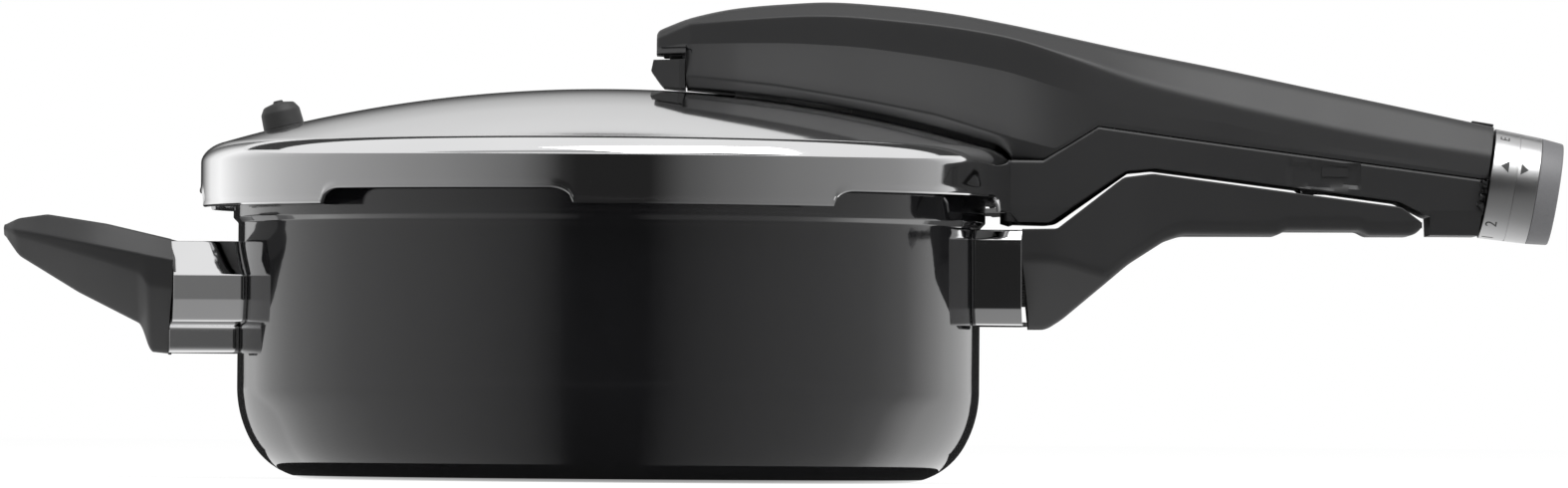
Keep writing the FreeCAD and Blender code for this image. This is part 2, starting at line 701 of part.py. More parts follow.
def cut_square_end(body):
    """Trim the rear end square to the rod, just short of the dial."""
    face = box_outline(tilted_sketch(body, -0.8), -wide, wide, -60, 60)
    pocket(body, face, 60, back=True)


def cut_rod_holes(body):
    """Bush seat in the rear end, and a clear way for the rod further in."""
    pocket(body, circle(tilted_sketch(body, 0), 6.05), 20.5)
    pocket(body, circle(tilted_sketch(body, 0), d.rod_radius + 1.2), rod_reach)


seam = [(from_wall(5), from_rim(4.2)), (from_wall(18.5), from_rim(4.2)), (from_wall(35.2), from_rim(14.6)),
        (from_dial(30), from_axis(-3.2))]
SCREW_SIDE = 13
shell_screw_x = from_wall(33)


def screw_hole(body, radius, bottom, length):
    """The two shell screws' holes, from bottom upwards."""
    for side in (1, -1):
        hole = circle(new_sketch(body, "XY_Plane", bottom), radius, shell_screw_x, side * SCREW_SIDE)
        pocket(body, hole, length, back=True)


def make_top_shell():
    body = new_part("lid_handle_top")
    shell_loft("AdditiveLoft", body, STATIONS)
    side_pocket(body, seam + [(from_dial(30), from_rim(-60)), (from_wall(5), from_rim(-60))], wide)
    shell_loft("SubtractiveLoft", body, STATIONS[FRONT_CAVITY], d.shell_wall)
    shell_loft("SubtractiveLoft", body, STATIONS[REAR_CAVITY], d.shell_wall)
    lid_clearance(body, d.lid_gap)
    side_pocket(body, [(from_wall(-110), from_rim(35.6)), (from_wall(-89.6), from_rim(35.6)),
                       (from_wall(-89.6), from_rim(0)), (from_wall(-110), from_rim(0))], wide)
    side_pocket(body, [(from_wall(-95), from_rim(10)), (from_wall(-80), from_rim(10)),
                       (from_wall(-80), from_rim(34.6)), (from_wall(-95), from_rim(34.6))], 15)
    cut_square_end(body)
    cut_rod_holes(body)
    screw_hole(body, 1.8, from_rim(2), 22)
    pocket(body, circle(valve_sketch(body, d.signal_side), 2.5), 60, back=True)


def make_base_shell():
    body = new_part("lid_handle_base")
    side_pad(body, [(from_wall(5), from_rim(-24)), (from_dial(30), from_rim(-24))] + list(reversed(seam)),
             2 * d.hood_half)
    taper_sides(body, [(from_wall(-5), d.hood_half), (from_wall(5), d.hood_half),
                       (from_wall(27), d.grip_half + 7.9), (from_wall(50), d.grip_half + 3.9),
                       (from_wall(72), d.grip_half + 1.2), (from_dial(-42.1), d.grip_half),
                       (from_dial(35), d.grip_half)])
    low = from_rim(-90)
    groove(body, [(from_wall(5), low)] + [(from_dial(-18.2), low)] + list(reversed(lid_parting[:-1])))
    floor = [(from_dial(30), from_axis(-16.35)), (from_dial(30), low), (from_wall(5), low),
             (from_wall(5), from_axis(-16.35))]
    side_pocket(body, floor, wide)
    lid_clearance(body, d.lid_gap)
    side_pocket(body, [(from_wall(45), from_rim(4.2)), (from_dial(-24.1), from_axis(-4.7)),
                       (from_dial(-24.1), from_rim(26)), (from_wall(45), from_rim(26))],
                2 * (d.grip_half - d.shell_wall))
    for side in (1, -1):
        corner = [(side * (d.grip_half + 1), from_axis(-6)), (side * 9.5, from_axis(-17)),
                  (side * wide, from_axis(-17)), (side * wide, from_axis(-6))]
        pocket(body, outline(new_sketch(body, "YZ_Plane", from_dial(20)), corner), 40)
    cut_square_end(body)
    cut_rod_holes(body)
    screw_hole(body, 1.9, from_rim(-20), 40)
    screw_hole(body, 3.6, from_rim(-20), 22.5)
    shank = circle(new_sketch(body, "XY_Plane", from_axis(-20)), d.bolt_radius + 0.1, bolt_x, 0)
    pocket(body, shank, 30, back=True)
    for side in (1, -1):
        slot = outline(new_sketch(body, "XZ_Plane", -side * (d.grip_half - 1.2)),
                       [(from_dial(-59.6), from_axis(-0.9)), (from_dial(-39.1), from_axis(-2.4)),
                        (from_dial(-39.1), from_axis(4.6)), (from_dial(-59.6), from_axis(4.6))])
        pocket(body, slot, 5, back=side < 0)
        way = box_outline(new_sketch(body, "XZ_Plane", 0), from_dial(-58.1), from_dial(-42.4),
                          from_axis(0.9), from_axis(4.4))
        pocket(body, way, d.hood_half, back=side < 0)


def make_shell_screws():
    """Two countersunk screws that close the shells, as one group."""
    body = new_part("lid_handle_screws")
    low = from_rim(0.25)
    for side in (1, -1):
        pad(body, circle(new_sketch(body, "XY_Plane", low), 3.3, shell_screw_x, side * SCREW_SIDE), 2.2)
        shank = circle(new_sketch(body, "XY_Plane", low), 1.75, shell_screw_x, side * SCREW_SIDE)
        pad(body, shank, 20)


def make_index_marker():
    body = new_part("index_marker")
    pad(body, box_outline(tilted_sketch(body, -7.4), -2.2, 2.2, 17.2, 18.1), 6.6)


def make_handle_plate():
    """Inner floor of the handle over the dome: carries the valve, the rod's front bush and the latch."""
    body = new_part("handle_plate")
    half = d.hood_half - 7.4
    front = from_wall(-75)
    side_pad(body, [(front, from_rim(6)), (from_wall(4.7), from_rim(6)), (from_wall(4.7), from_rim(14.4)),
                    (from_wall(-23), from_rim(21.6)), (valve_x + 12, dome_height(valve_x + 12) + 6.1),
                    (valve_x - 12, dome_height(valve_x - 12) + 6.1), (front, dome_height(front) + 6)],
             2 * half)
    lid_clearance(body, d.lid_gap)
    pocket(body, circle(valve_sketch(body), 10.7), 7.2, both=True)
    pocket(body, circle(valve_sketch(body), d.valve_radius + 0.6), 60, both=True)
    pocket(body, circle(valve_sketch(body, 0, 6.15), 9.9), 30, back=True)
    pocket(body, circle(valve_sketch(body, d.signal_side), 4.3), 60, both=True)
    side_pocket(body, [(from_wall(-77), from_rim(26.8)), (from_wall(-66), from_rim(26.8)),
                       (from_wall(-66), from_rim(40)), (from_wall(-77), from_rim(40))], 13.2)
    for side in (1, -1):
        ear = outline(new_sketch(body, "XZ_Plane", -side * 7),
                      [(from_wall(-74.5), from_rim(25)), (from_wall(-67.5), from_rim(25)),
                       (from_wall(-67.5), from_rim(33)), (from_wall(-74.5), from_rim(33))])
        pad(body, ear, 3, back=side > 0)
    pin_way = circle(new_sketch(body, "XZ_Plane", 0), 1.55, from_wall(-71), from_rim(30.4))
    pocket(body, pin_way, 40, both=True)


def make_latch():
    latch = new_part("release_latch")
    side_pad(latch, [(from_wall(-99.9), from_rim(34.1)), (from_wall(-100.6), from_rim(30.8)),
                     (from_wall(-98), from_rim(27.2)), (from_wall(-95), from_rim(24)),
                     (from_wall(-90.2), from_rim(24)), (from_wall(-90.2), from_rim(34.1))], 34)
    side_pad(latch, [(from_wall(-91), from_rim(27.6)), (from_wall(-68.5), from_rim(28.2)),
                     (from_wall(-68.5), from_rim(32.6)), (from_wall(-91), from_rim(32.6))], 12)
    taper_sides(latch, [(from_wall(-102), 9), (from_wall(-99), 11), (from_wall(-92), 17),
                        (from_wall(-60), 17)])
    lid_clearance(latch, d.lid_gap)
    pin_way = circle(new_sketch(latch, "XZ_Plane", 0), 1.55, from_wall(-71), from_rim(30.4))
    pocket(latch, pin_way, 40, both=True)
    pin = new_part("latch_pin")
    pad(pin, circle(new_sketch(pin, "XZ_Plane", 0), 1.5, from_wall(-71), from_rim(30.4)), 20, both=True)
    spring = new_part("latch_spring", from_wall(-77), 0, from_rim(32.9))
    wire = circle(new_sketch(spring, "XZ_Plane"), 0.3, 2.2, 0.1)
    coil = spring.newObject("PartDesign::AdditiveHelix", "Coil")
    coil.Profile = wire
    coil.ReferenceAxis = (wire, ["V_Axis"])
    coil.Mode = "pitch-height-angle"
    coil.Pitch = 1.9
    coil.Height = 13.1
    coil.Angle = 0


def make_rod_bushes():
    front = valve_part("rod_bearing_front")
    side_pad(front, [(44, -1), (50, -1), (50, 16.4), (44, 16.4)], 16)
    lower = [(43, -2), (51, -2), (51, 5.4), (43, 5.9)]
    side_pocket(front, lower, 20)
    pocket(front, circle(new_sketch(front, "YZ_Plane", 40), d.rod_radius + d.running_gap, 0, d.rod_lift), 20,
           back=True)
    rear = new_part("rod_bearing_rear", dial_x, 0, dial_z, d.grip_tilt)
    pad(rear, circle(circle(new_sketch(rear, "YZ_Plane", -20.4), 6), d.rod_radius + d.running_gap), 19.5)


# ---------------------------------------------------------------- dial and lock

def dial_part(node):
    """A body whose local X runs along the control rod, from the dial's inner face outwards."""
    return new_part(node, dial_x, 0, dial_z, d.grip_tilt)


def turn_about_rod(body, corners):
    return turned("Revolution", body, outline(new_sketch(body, "XZ_Plane"), corners), "H_Axis")


def make_dial():
    radius = d.dial_radius
    length = d.dial_length
    cap = d.cap_length
    core = dial_part("dial_core")
    bore = d.rod_radius + 0.02
    turn_about_rod(core, [(0, bore), (length - 1, bore), (length - 1, radius - 1.9), (0, radius - 1.9)])
    ring = dial_part("dial_ring")
    turn_about_rod(ring, [(0, radius - 1.85), (length, radius - 1.85), (length, radius - 0.6), (0, radius)])
    end = dial_part("dial_cap")
    turn_about_rod(end, [(length - 0.9, 0), (length + cap, 0), (length + cap, radius - 1.3),
                         (length + cap - 0.4, radius - 0.9), (length + 0.05, radius - 0.6),
                         (length + 0.05, radius - 2), (length - 0.9, radius - 2)])
    rod = dial_part("control_rod")
    tip = 14 - rod_reach
    turn_about_rod(rod, [(tip, 0), (length - 1, 0), (length - 1, d.rod_radius), (tip, d.rod_radius)])


def make_lock():
    slider = new_part("lock_slider")
    low = from_axis(0.45)
    high = from_axis(5.45)
    rear = from_dial(-42.9)
    front = rear - 15.5
    side_pad(slider, [(front, low), (rear, low), (rear, high), (front, high)], 16)
    side_pad(slider, [(rear - 8, from_axis(1.3)), (rear, from_axis(1.3)), (rear, from_axis(4.0)),
                      (rear - 8, from_axis(4.0))], 2 * d.grip_half - 0.8)
    side_pocket(slider, [(front - 1, low - 1), (rear - 2.3, low - 1), (rear - 2.3, high + 1),
                         (front - 1, high + 1)], 8)
    side_pocket(slider, [(rear - 3, from_axis(3.1)), (rear + 1, from_axis(3.1)), (rear + 1, high + 1),
                         (rear - 3, high + 1)], 8)
    pin_z = from_axis(4.15)
    slot_end = bolt_x + 7.1
    side_pocket(slider, [(bolt_x - 1.1, pin_z - 0.75), (bolt_x + 6, pin_z - 2.98), (slot_end, pin_z - 2.98),
                         (slot_end, pin_z - 1.2), (bolt_x + 0.2, pin_z + 1.05),
                         (bolt_x - 1.1, pin_z + 1.05)], 30)
    bolt = new_part("lock_bolt", bolt_x, 0, pin_z)
    pad(bolt, circle(new_sketch(bolt, "XY_Plane", bolt_underside - pin_z), d.bolt_radius),
        pin_z - bolt_underside + 1.1)
    pad(bolt, circle(new_sketch(bolt, "XZ_Plane"), 0.8), 15.4, both=True)


def make_all():
    make_pot()
    make_bracket("pan_bracket", 1, pan_guard_end, pan_screw_height)
    make_pan_guard()
    make_pan_handle()
    make_pan_screw()
    make_bracket("helper_bracket", -1, helper_guard_end, helper_screw_height)
    make_helper_guard()
    make_helper_handle()
    make_helper_screw()
    make_sealing_ring()
    make_lid()
    make_safety_valve()
    make_valve()
    make_spring_seat()
    make_wedge()
    make_signal()
    make_top_shell()
    make_base_shell()
    make_shell_screws()
    make_index_marker()
    make_handle_plate()
    make_latch()
    make_rod_bushes()
    make_dial()
    make_lock()


def faults():
    """Every object that failed to compute, and every part whose shape is missing or invalid."""
    found = []
    for thing in doc.Objects:
        if "Invalid" in thing.State or "Error" in thing.State:
            found.append("%s of %s" % (thing.Name, getattr(thing.getParentGeoFeatureGroup(), "Label", "-")))
    for body in parts:
        if body.Shape.isNull() or not body.Shape.isValid():
            found.append(body.Label)
    return found


make_all()
doc.recompute()
problems = faults()
if problems:
    raise RuntimeError("these did not compute: " + ", ".join(problems))
os.makedirs("parts", exist_ok=True)
for part in parts:
    part.Shape.exportStep("parts/%s.step" % part.Label)
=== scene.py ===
"""Looks of a stovetop pressure cooker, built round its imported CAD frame.

Sizes in the tables below are millimetres in the frame's own axes: X along the long handle, Z up,
and the pan's axis at X = Y = 0. Meshes are written in metres.
"""

import json
import math

import bmesh
import bpy
import numpy as np
from mathutils import Matrix, Vector


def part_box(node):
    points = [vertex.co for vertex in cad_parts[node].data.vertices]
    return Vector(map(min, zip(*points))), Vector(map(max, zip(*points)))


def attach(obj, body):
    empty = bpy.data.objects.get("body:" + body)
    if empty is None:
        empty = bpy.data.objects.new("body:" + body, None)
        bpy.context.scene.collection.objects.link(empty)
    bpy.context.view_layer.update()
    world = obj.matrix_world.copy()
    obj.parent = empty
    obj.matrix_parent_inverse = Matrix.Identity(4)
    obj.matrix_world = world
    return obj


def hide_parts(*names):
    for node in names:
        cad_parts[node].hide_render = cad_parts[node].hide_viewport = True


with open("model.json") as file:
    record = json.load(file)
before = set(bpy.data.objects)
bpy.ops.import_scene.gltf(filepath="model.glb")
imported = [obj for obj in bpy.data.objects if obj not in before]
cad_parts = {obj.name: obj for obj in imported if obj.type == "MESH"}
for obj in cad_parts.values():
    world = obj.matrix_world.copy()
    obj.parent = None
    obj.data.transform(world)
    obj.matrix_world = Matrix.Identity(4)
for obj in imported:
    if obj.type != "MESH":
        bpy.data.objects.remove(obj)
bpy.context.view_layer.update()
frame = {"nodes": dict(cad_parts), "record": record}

bl_info = {
    "name": "Pressure Cooker Looks",
    "version": (1, 0, 0),
    "blender": (4, 5, 0),
    "location": "View3D > Sidebar > Cooker",
    "description": "Pan, lid, handles, dial and studio round the packed frame of a pressure cooker",
    "category": "Object",
}

MM = 0.001
SLOT_OF = {part["node"]: part["material_slot"] for part in frame["record"]["subparts"]}

# Places read from the frame, in millimetres.
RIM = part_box("pot")[1].z / MM
LID_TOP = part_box("lid")[1].z / MM
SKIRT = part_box("lid")[1].x / MM
HELPER_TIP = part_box("helper_handle")[0].x / MM

# The control rod's axis: it leaves the dial's inner face at DIAL and falls outwards by TILT.
TILT = math.radians(8.9)
DIAL = np.array([267.1, 0.0, 92.75])
ROD = np.array([math.cos(TILT), 0.0, -math.sin(TILT)])

WALL = 113.0           # outside of the pan's wall
BAND = 114.5           # the wider band under the rim
SHOULDER = 118.0       # where the lid's dome meets its rounded edge
DOME_EDGE = 101.9      # height of that edge
LUG_PITCH = 75.5       # degrees between neighbouring lugs
LUG_TURNS = LUG_PITCH * np.arange(-2, 3)
TAB_HALF = 18.5        # degrees, half of each low tab of the skirt
TAB_EDGE = 82.0
ARCH_EDGE = 86.5
PAN_SLEEVE = 128.0
HELPER_SLEEVE = 134.0
DOME = (SHOULDER ** 2 + (LID_TOP - DOME_EDGE) ** 2) / (2 * (LID_TOP - DOME_EDGE))


# ---------------------------------------------------------------- curves and grids


def arc(centre, radius, start, end, steps=16):
    """Points centre + radius (cos a, sin a) for a from start to end, in degrees."""
    turn = np.radians(np.linspace(start, end, steps))
    return np.stack([centre[0] + radius * np.cos(turn), centre[1] + radius * np.sin(turn)], 1)


def rounded(corners, radii, closed=False, steps=6):
    """An outline with its corners cut by curves that meet both sides where a round of that radius would."""
    loop = section(np.array(corners, float)[None], np.array(radii, float)[None], closed, steps, 0)
    return loop[0]


def dense(profile, longest=1.5):
    """The same outline with its long sides divided, so that shading stays flat along them."""
    steps = np.maximum(np.ceil(np.linalg.norm(np.diff(profile, axis=0), axis=1) / longest).astype(int), 1)
    start = np.repeat(np.arange(len(steps)), steps)
    part = (np.arange(len(start)) - np.repeat(np.cumsum(steps) - steps, steps)) / np.repeat(steps, steps)
    points = profile[start] + part[:, None] * (profile[start + 1] - profile[start])
    return np.concatenate([points, profile[-1:]])


def section(corners, radii, closed=True, steps=6, between=4):
    """Rounded outlines, one for each row of corners.

    Each corner Q becomes the curve (1-t)^2 A + 2 t (1-t) Q + t^2 B. A and B lie on the sides that
    meet there, radius * tan(turn / 2) from Q and at most 0.48 of the side away. Between two such
    curves the side holds evenly spaced points, so every row has the same number of points.
    """
    back = np.roll(corners, 1, 1)
    ahead = np.roll(corners, -1, 1)
    to_back = back - corners
    to_ahead = ahead - corners
    back_length = np.maximum(np.linalg.norm(to_back, axis=2), 1e-9)
    ahead_length = np.maximum(np.linalg.norm(to_ahead, axis=2), 1e-9)
    to_back = to_back / back_length[..., None]
    to_ahead = to_ahead / ahead_length[..., None]
    turn = np.pi - np.arccos(np.clip((to_back * to_ahead).sum(2), -1, 1))
    cut = np.minimum(radii * np.tan(turn / 2), 0.48 * np.minimum(back_length, ahead_length))
    if not closed:
        cut[:, 0] = 0
        cut[:, -1] = 0
    start = corners + to_back * cut[..., None]
    end = corners + to_ahead * cut[..., None]
    t = np.linspace(0, 1, steps)[:, None]
    curve = [(1 - t) ** 2 * start[:, :, None] + 2 * t * (1 - t) * corners[:, :, None] + t ** 2 * end[:, :,
                                                                                                     None]]
    if between:
        s = np.linspace(0, 1, between + 2)[1:-1, None]
        curve.append(end[:, :, None] * (1 - s) + np.roll(start, -1, 1)[:, :, None] * s)
    loop = np.concatenate(curve, 2).reshape(len(corners), -1, corners.shape[2])
    return loop if closed or not between else loop[:, :-between]


def track(points, x, kinks=()):
    """A smooth height over X through the points, with slopes held back so that it never overshoots.

    Each slope is the harmonic mean of its neighbours' slopes, or zero where they change sign. The
    curve turns sharply at the X values in kinks.
    """
    points = np.array(points, float)
    bounds = [points[0, 0], *kinks, points[-1, 0]]
    value = np.zeros_like(x, float)
    for low, high in zip(bounds, bounds[1:]):
        piece = points[(points[:, 0] >= low - 1e-9) & (points[:, 0] <= high + 1e-9)]
        inside = (x >= low) | (low == bounds[0])
        value = np.where(inside, limited_cubic(piece[:, 0], piece[:, 1], np.clip(x, low, high)), value)
    return value


def limited_cubic(at, height, x):
    """Hermite cubic between the points, with limited slopes."""
    step = np.diff(at)
    slope = np.diff(height) / step
    tangent = np.concatenate([slope[:1], np.zeros(len(slope) - 1), slope[-1:]])
    product = slope[1:] * slope[:-1]
    total = slope[1:] + slope[:-1]
    tangent[1:-1] = np.where(product > 0, 2 * product / np.where(total == 0, 1, total), 0)
    i = np.clip(np.searchsorted(at, x) - 1, 0, len(step) - 1)
    t = (x - at[i]) / step[i]
    return ((1 + 2 * t) * (1 - t) ** 2 * height[i] + t * (1 - t) ** 2 * step[i] * tangent[i]
            + t ** 2 * (3 - 2 * t) * height[i + 1] - t ** 2 * (1 - t) * step[i] * tangent[i + 1])


def soft_step(x, low, high):
    """0 below low, 1 above high, and 3t^2 - 2t^3 between."""
    t = np.clip((x - low) / (high - low), 0, 1)
    return t * t * (3 - 2 * t)


def quads(rows, columns, wrap_rows=False, wrap_columns=False):
    """Corner numbers of a grid's faces; a wrapped side joins its last line to its first."""
    i = np.arange(rows if wrap_rows else rows - 1)[:, None]
    j = np.arange(columns if wrap_columns else columns - 1)[None]
    ahead = (i + 1) % rows
    beside = (j + 1) % columns
    faces = [i * columns + j, i * columns + beside, ahead * columns + beside, ahead * columns + j]
    return np.stack([face + 0 * (i + j) for face in faces], -1).reshape(-1, 4)


class Surface:
    """Grids of points in millimetres, gathered into one mesh object."""

    def __init__(self):
        self.points = []
        self.faces = []
        self.count = 0

    def grid(self, points, wrap_rows=False, wrap_columns=False):
        rows, columns = points.shape[:2]
        self.faces.append(quads(rows, columns, wrap_rows, wrap_columns) + self.count)
        self.points.append(points.reshape(-1, 3))
        self.count += rows * columns
        return self

    def build(self, name, material, sharp=30.0):
        """Merge the seams and poles, turn the faces outwards and shade smooth up to the sharp angle."""
        mesh = bpy.data.meshes.new(name)
        mesh.from_pydata(np.concatenate(self.points) * MM, [], np.concatenate(self.faces))
        return finish_mesh(mesh, name, material, sharp)


def finish_mesh(mesh, name, material, sharp):
    tidy = bmesh.new()
    tidy.from_mesh(mesh)
    bmesh.ops.remove_doubles(tidy, verts=tidy.verts, dist=2e-6)
    bmesh.ops.dissolve_degenerate(tidy, edges=tidy.edges, dist=1e-7)
    bmesh.ops.recalc_face_normals(tidy, faces=tidy.faces)
    tidy.to_mesh(mesh)
    tidy.free()
    mesh.shade_smooth()
    mesh.set_sharp_from_angle(angle=math.radians(sharp))
    mesh.materials.append(material)
    piece = bpy.data.objects.new(name, mesh)
    bpy.context.scene.collection.objects.link(piece)
    return piece


def turned(profile, steps=288):
    """A profile (r, z) carried round the pan's axis: (r cos a, r sin a, z)."""
    turn = np.linspace(0, 2 * np.pi, steps, endpoint=False)
    r = profile[:, 0, None]
    z = profile[:, 1, None] + 0 * turn
    return np.stack([r * np.cos(turn), r * np.sin(turn), z], -1)


def turned_on_rod(profile, steps=160):
    """A profile (distance along the rod, radius) carried round the control rod's axis."""
    turn = np.linspace(0, 2 * np.pi, steps, endpoint=False)
    along = profile[:, 0, None] + 0 * turn
    across = profile[:, 1, None] * np.sin(turn)
    lift = profile[:, 1, None] * np.cos(turn)
    return on_rod(along, across, lift)


def on_rod(along, across, lift):
    """Points at distances along the rod, sideways (+Y) and square to both, upwards."""
    up = np.array([math.sin(TILT), 0, math.cos(TILT)])
    side = np.array([0.0, 1.0, 0.0])
    return DIAL + along[..., None] * ROD + across[..., None] * side + lift[..., None] * up


def place(piece, body, slot, *nodes):
    """Put the piece on the body it rides on and hide the CAD nodes that it stands for; the slot is not used.
    """
    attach(piece, body)
    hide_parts(*nodes)
    return piece


def add_modifier(piece, kind, **settings):
    made = piece.modifiers.new(kind.title(), kind)
    for word, value in settings.items():
        setattr(made, word, value)
    return made


def softened(node, width, material, sharp=30.0):
    """A merged copy of a CAD node with its flat faces joined and its edges rounded to the width."""
    mesh = frame["nodes"][node].data.copy()
    mesh.materials.clear()
    shape = bmesh.new()
    shape.from_mesh(mesh)
    bmesh.ops.remove_doubles(shape, verts=shape.verts, dist=2e-6)
    bmesh.ops.dissolve_limit(shape, angle_limit=math.radians(0.5), verts=shape.verts, edges=shape.edges)
    shape.to_mesh(mesh)
    shape.free()
    piece = finish_mesh(mesh, node + "_shell", material, sharp)
    add_modifier(piece, "BEVEL", width=width * MM, segments=3, limit_method="ANGLE",
                 angle_limit=math.radians(sharp), harden_normals=True)
    return place(piece, body_of(node), SLOT_OF[node], node)


def drill(piece, cutter):
    """Cut one closed piece out of another and drop the cutter, so that no modifier stays on."""
    cut = add_modifier(piece, "BOOLEAN", operation="DIFFERENCE", solver="EXACT", object=cutter)
    bpy.context.view_layer.update()
    depsgraph = bpy.context.evaluated_depsgraph_get()
    mesh = bpy.data.meshes.new_from_object(piece.evaluated_get(depsgraph))
    piece.modifiers.remove(cut)
    piece.data = mesh
    mesh.shade_smooth()
    mesh.set_sharp_from_angle(angle=math.radians(24))
    bpy.data.objects.remove(cutter)
    return piece


def upright_pin(x, y, radius, low, high):
    """A closed cylinder about an upright axis, used as a cutter."""
    turn = np.linspace(0, 2 * np.pi, 40, endpoint=False)
    rows = np.array([(0, low), (radius, low), (radius, high), (0, high)])
    r = rows[:, 0, None]
    points = np.stack([x + r * np.cos(turn), y + r * np.sin(turn), rows[:, 1, None] + 0 * turn], -1)
    return Surface().grid(points, wrap_columns=True).build("cutter", FINISHES["handle_black"])


def body_of(node):
    for body, nodes in frame["record"]["behaviour"]["bodies"].items():
        if node in nodes:
            return body
    raise ValueError("no body holds " + node)


# ---------------------------------------------------------------- shader maths


class Wire:
    """A shader socket that can stand in sums: each operator adds one Math node."""

    def __init__(self, finish, socket):
        self.finish = finish
        self.socket = socket

    def math(self, operation, *values):
        words = dict(enumerate(values))
        return self.finish.node("ShaderNodeMath", {"operation": operation}, words)

    def __add__(self, other):
        return self.math("ADD", self, other)

    def __radd__(self, other):
        return self.math("ADD", other, self)

    def __sub__(self, other):
        return self.math("SUBTRACT", self, other)

    def __rsub__(self, other):
        return self.math("SUBTRACT", other, self)

    def __mul__(self, other):
        return self.math("MULTIPLY", self, other)

    def __rmul__(self, other):
        return self.math("MULTIPLY", other, self)

    def __truediv__(self, other):
        return self.math("DIVIDE", self, other)

    def __rtruediv__(self, other):
        return self.math("DIVIDE", other, self)

    def __pow__(self, other):
        return self.math("POWER", self, other)

    def clamp(self):
        return self.finish.node("ShaderNodeClamp", {}, {"Value": self})

    def root(self):
        return self.math("SQRT", self)


class Finish:
    """A material under construction."""

    def __init__(self, name, owner=None):
        self.material = owner or bpy.data.materials.new(name)
        self.material.use_nodes = True
        self.tree = self.material.node_tree
        self.tree.nodes.clear()

    def node(self, kind, settings, sockets, output=0):
        """Add a node: its settings first, then the values or wires of its sockets."""
        made = self.tree.nodes.new(kind)
        for word, value in settings.items():
            if word == "stops":
                self.set_stops(made.color_ramp, value)
            else:
                setattr(made, word, value)
        for word, value in sockets.items():
            socket = made.inputs[word]
            if isinstance(value, Wire):
                self.tree.links.new(value.socket, socket)
            else:
                socket.default_value = value
        return None if output is None else Wire(self, made.outputs[output])

    def set_stops(self, ramp, stops):
        while len(ramp.elements) < len(stops):
            ramp.elements.new(0.5)
        for element, (place_on_ramp, level) in zip(ramp.elements, stops):
            element.position = place_on_ramp
            element.color = (level, level, level, 1)

    def position(self):
        return self.node("ShaderNodeTexCoord", {}, {}, "Object")

    def split(self, vector):
        """The three parts of a vector, as wires."""
        parts = self.tree.nodes.new("ShaderNodeSeparateXYZ")
        self.tree.links.new(vector.socket, parts.inputs[0])
        return [Wire(self, socket) for socket in parts.outputs]

    def joined(self, x, y, z):
        return self.node("ShaderNodeCombineXYZ", {}, {"X": x, "Y": y, "Z": z})

    def noise(self, vector, scale, detail=2.0, rough=0.5):
        sockets = {"Vector": vector, "Scale": scale, "Detail": detail, "Roughness": rough}
        return self.node("ShaderNodeTexNoise", {}, sockets)

    def bump(self, height, strength, distance):
        sockets = {"Height": height, "Strength": strength, "Distance": distance}
        return self.node("ShaderNodeBump", {}, sockets)

    def blend(self, factor, first, second):
        """A colour between two colours."""
        sockets = {"Factor": factor, "A": first, "B": second}
        made = self.tree.nodes.new("ShaderNodeMix")
        made.data_type = "RGBA"
        chosen = {"Factor": made.inputs[0], "A": made.inputs[6], "B": made.inputs[7]}
        for word, value in sockets.items():
            if isinstance(value, Wire):
                self.tree.links.new(value.socket, chosen[word])
            else:
                chosen[word].default_value = value
        return Wire(self, made.outputs[2])

    def surface(self, sockets):
        shader = self.node("ShaderNodeBsdfPrincipled", {}, sockets)
        self.node_out(shader)
        return self.material

    def node_out(self, shader):
        out = self.tree.nodes.new("ShaderNodeOutputMaterial")
        self.tree.links.new(shader.socket, out.inputs["Surface"])


def shade(level, tint=(1.0, 1.0, 1.0)):
    """A colour of one level, leaning to the tint."""
    return (level * tint[0], level * tint[1], level * tint[2], 1.0)


def scaled(colour, factor):
    return (colour[0] * factor, colour[1] * factor, colour[2] * factor, 1.0)


def enamel_finish(colours):
    """Vitreous enamel: deep gloss with the faint waviness of a fired coat."""
    made = Finish("enamel_gloss")
    spot = made.position()
    wave = made.noise(spot, 160.0, 2.0)
    pits = made.noise(spot, 1400.0, 3.0)
    colour = made.blend(wave, tuple(colours.enamel) + (1,), scaled(colours.enamel, 1.5))
    return made.surface({
        "Base Color": colour,
        "Roughness": 0.045 + pits * 0.03,
        "IOR": 2.1,
        "Normal": made.bump(wave * 1.0 + pits * 0.06, 0.25, 0.00006),
    })


def mirror_finish(colours):
    """Mirror polish: faint circular buffing lines round the pan's axis and a slow ripple."""
    made = Finish("steel_mirror")
    spot = made.position()
    x, y, z = made.split(spot)
    radius = (x * x + y * y).root()
    lines = made.noise(made.joined(radius * 9000.0, z * 9000.0, 0.0), 1.0, 2.0)
    ripple = made.noise(spot, 45.0, 1.0)
    colour = made.blend(ripple, tuple(colours.steel) + (1,), scaled(colours.steel, 0.94))
    return made.surface({
        "Base Color": colour,
        "Metallic": 1.0,
        "Roughness": 0.05 + lines * 0.03,
        "Normal": made.bump(ripple + lines * 0.02, 0.2, 0.00012),
    })


def satin_finish(colours):
    """Turned steel: fine cutting lines round the dial's axis."""
    made = Finish("steel_satin")
    spot = made.position()
    x, y, z = made.split(spot)
    along = x * math.cos(TILT) - z * math.sin(TILT)
    lines = made.noise(made.joined(along * 16000.0, 0.0, 0.0), 1.0, 3.0, 0.7)
    cloud = made.noise(spot, 300.0, 2.0)
    colour = made.blend(lines, scaled(colours.steel, 0.5), scaled(colours.steel, 0.66))
    return made.surface({
        "Base Color": colour,
        "Metallic": 1.0,
        "Roughness": 0.24 + lines * 0.08 + cloud * 0.04,
        "Normal": made.bump(lines, 0.25, 0.00002),
    })


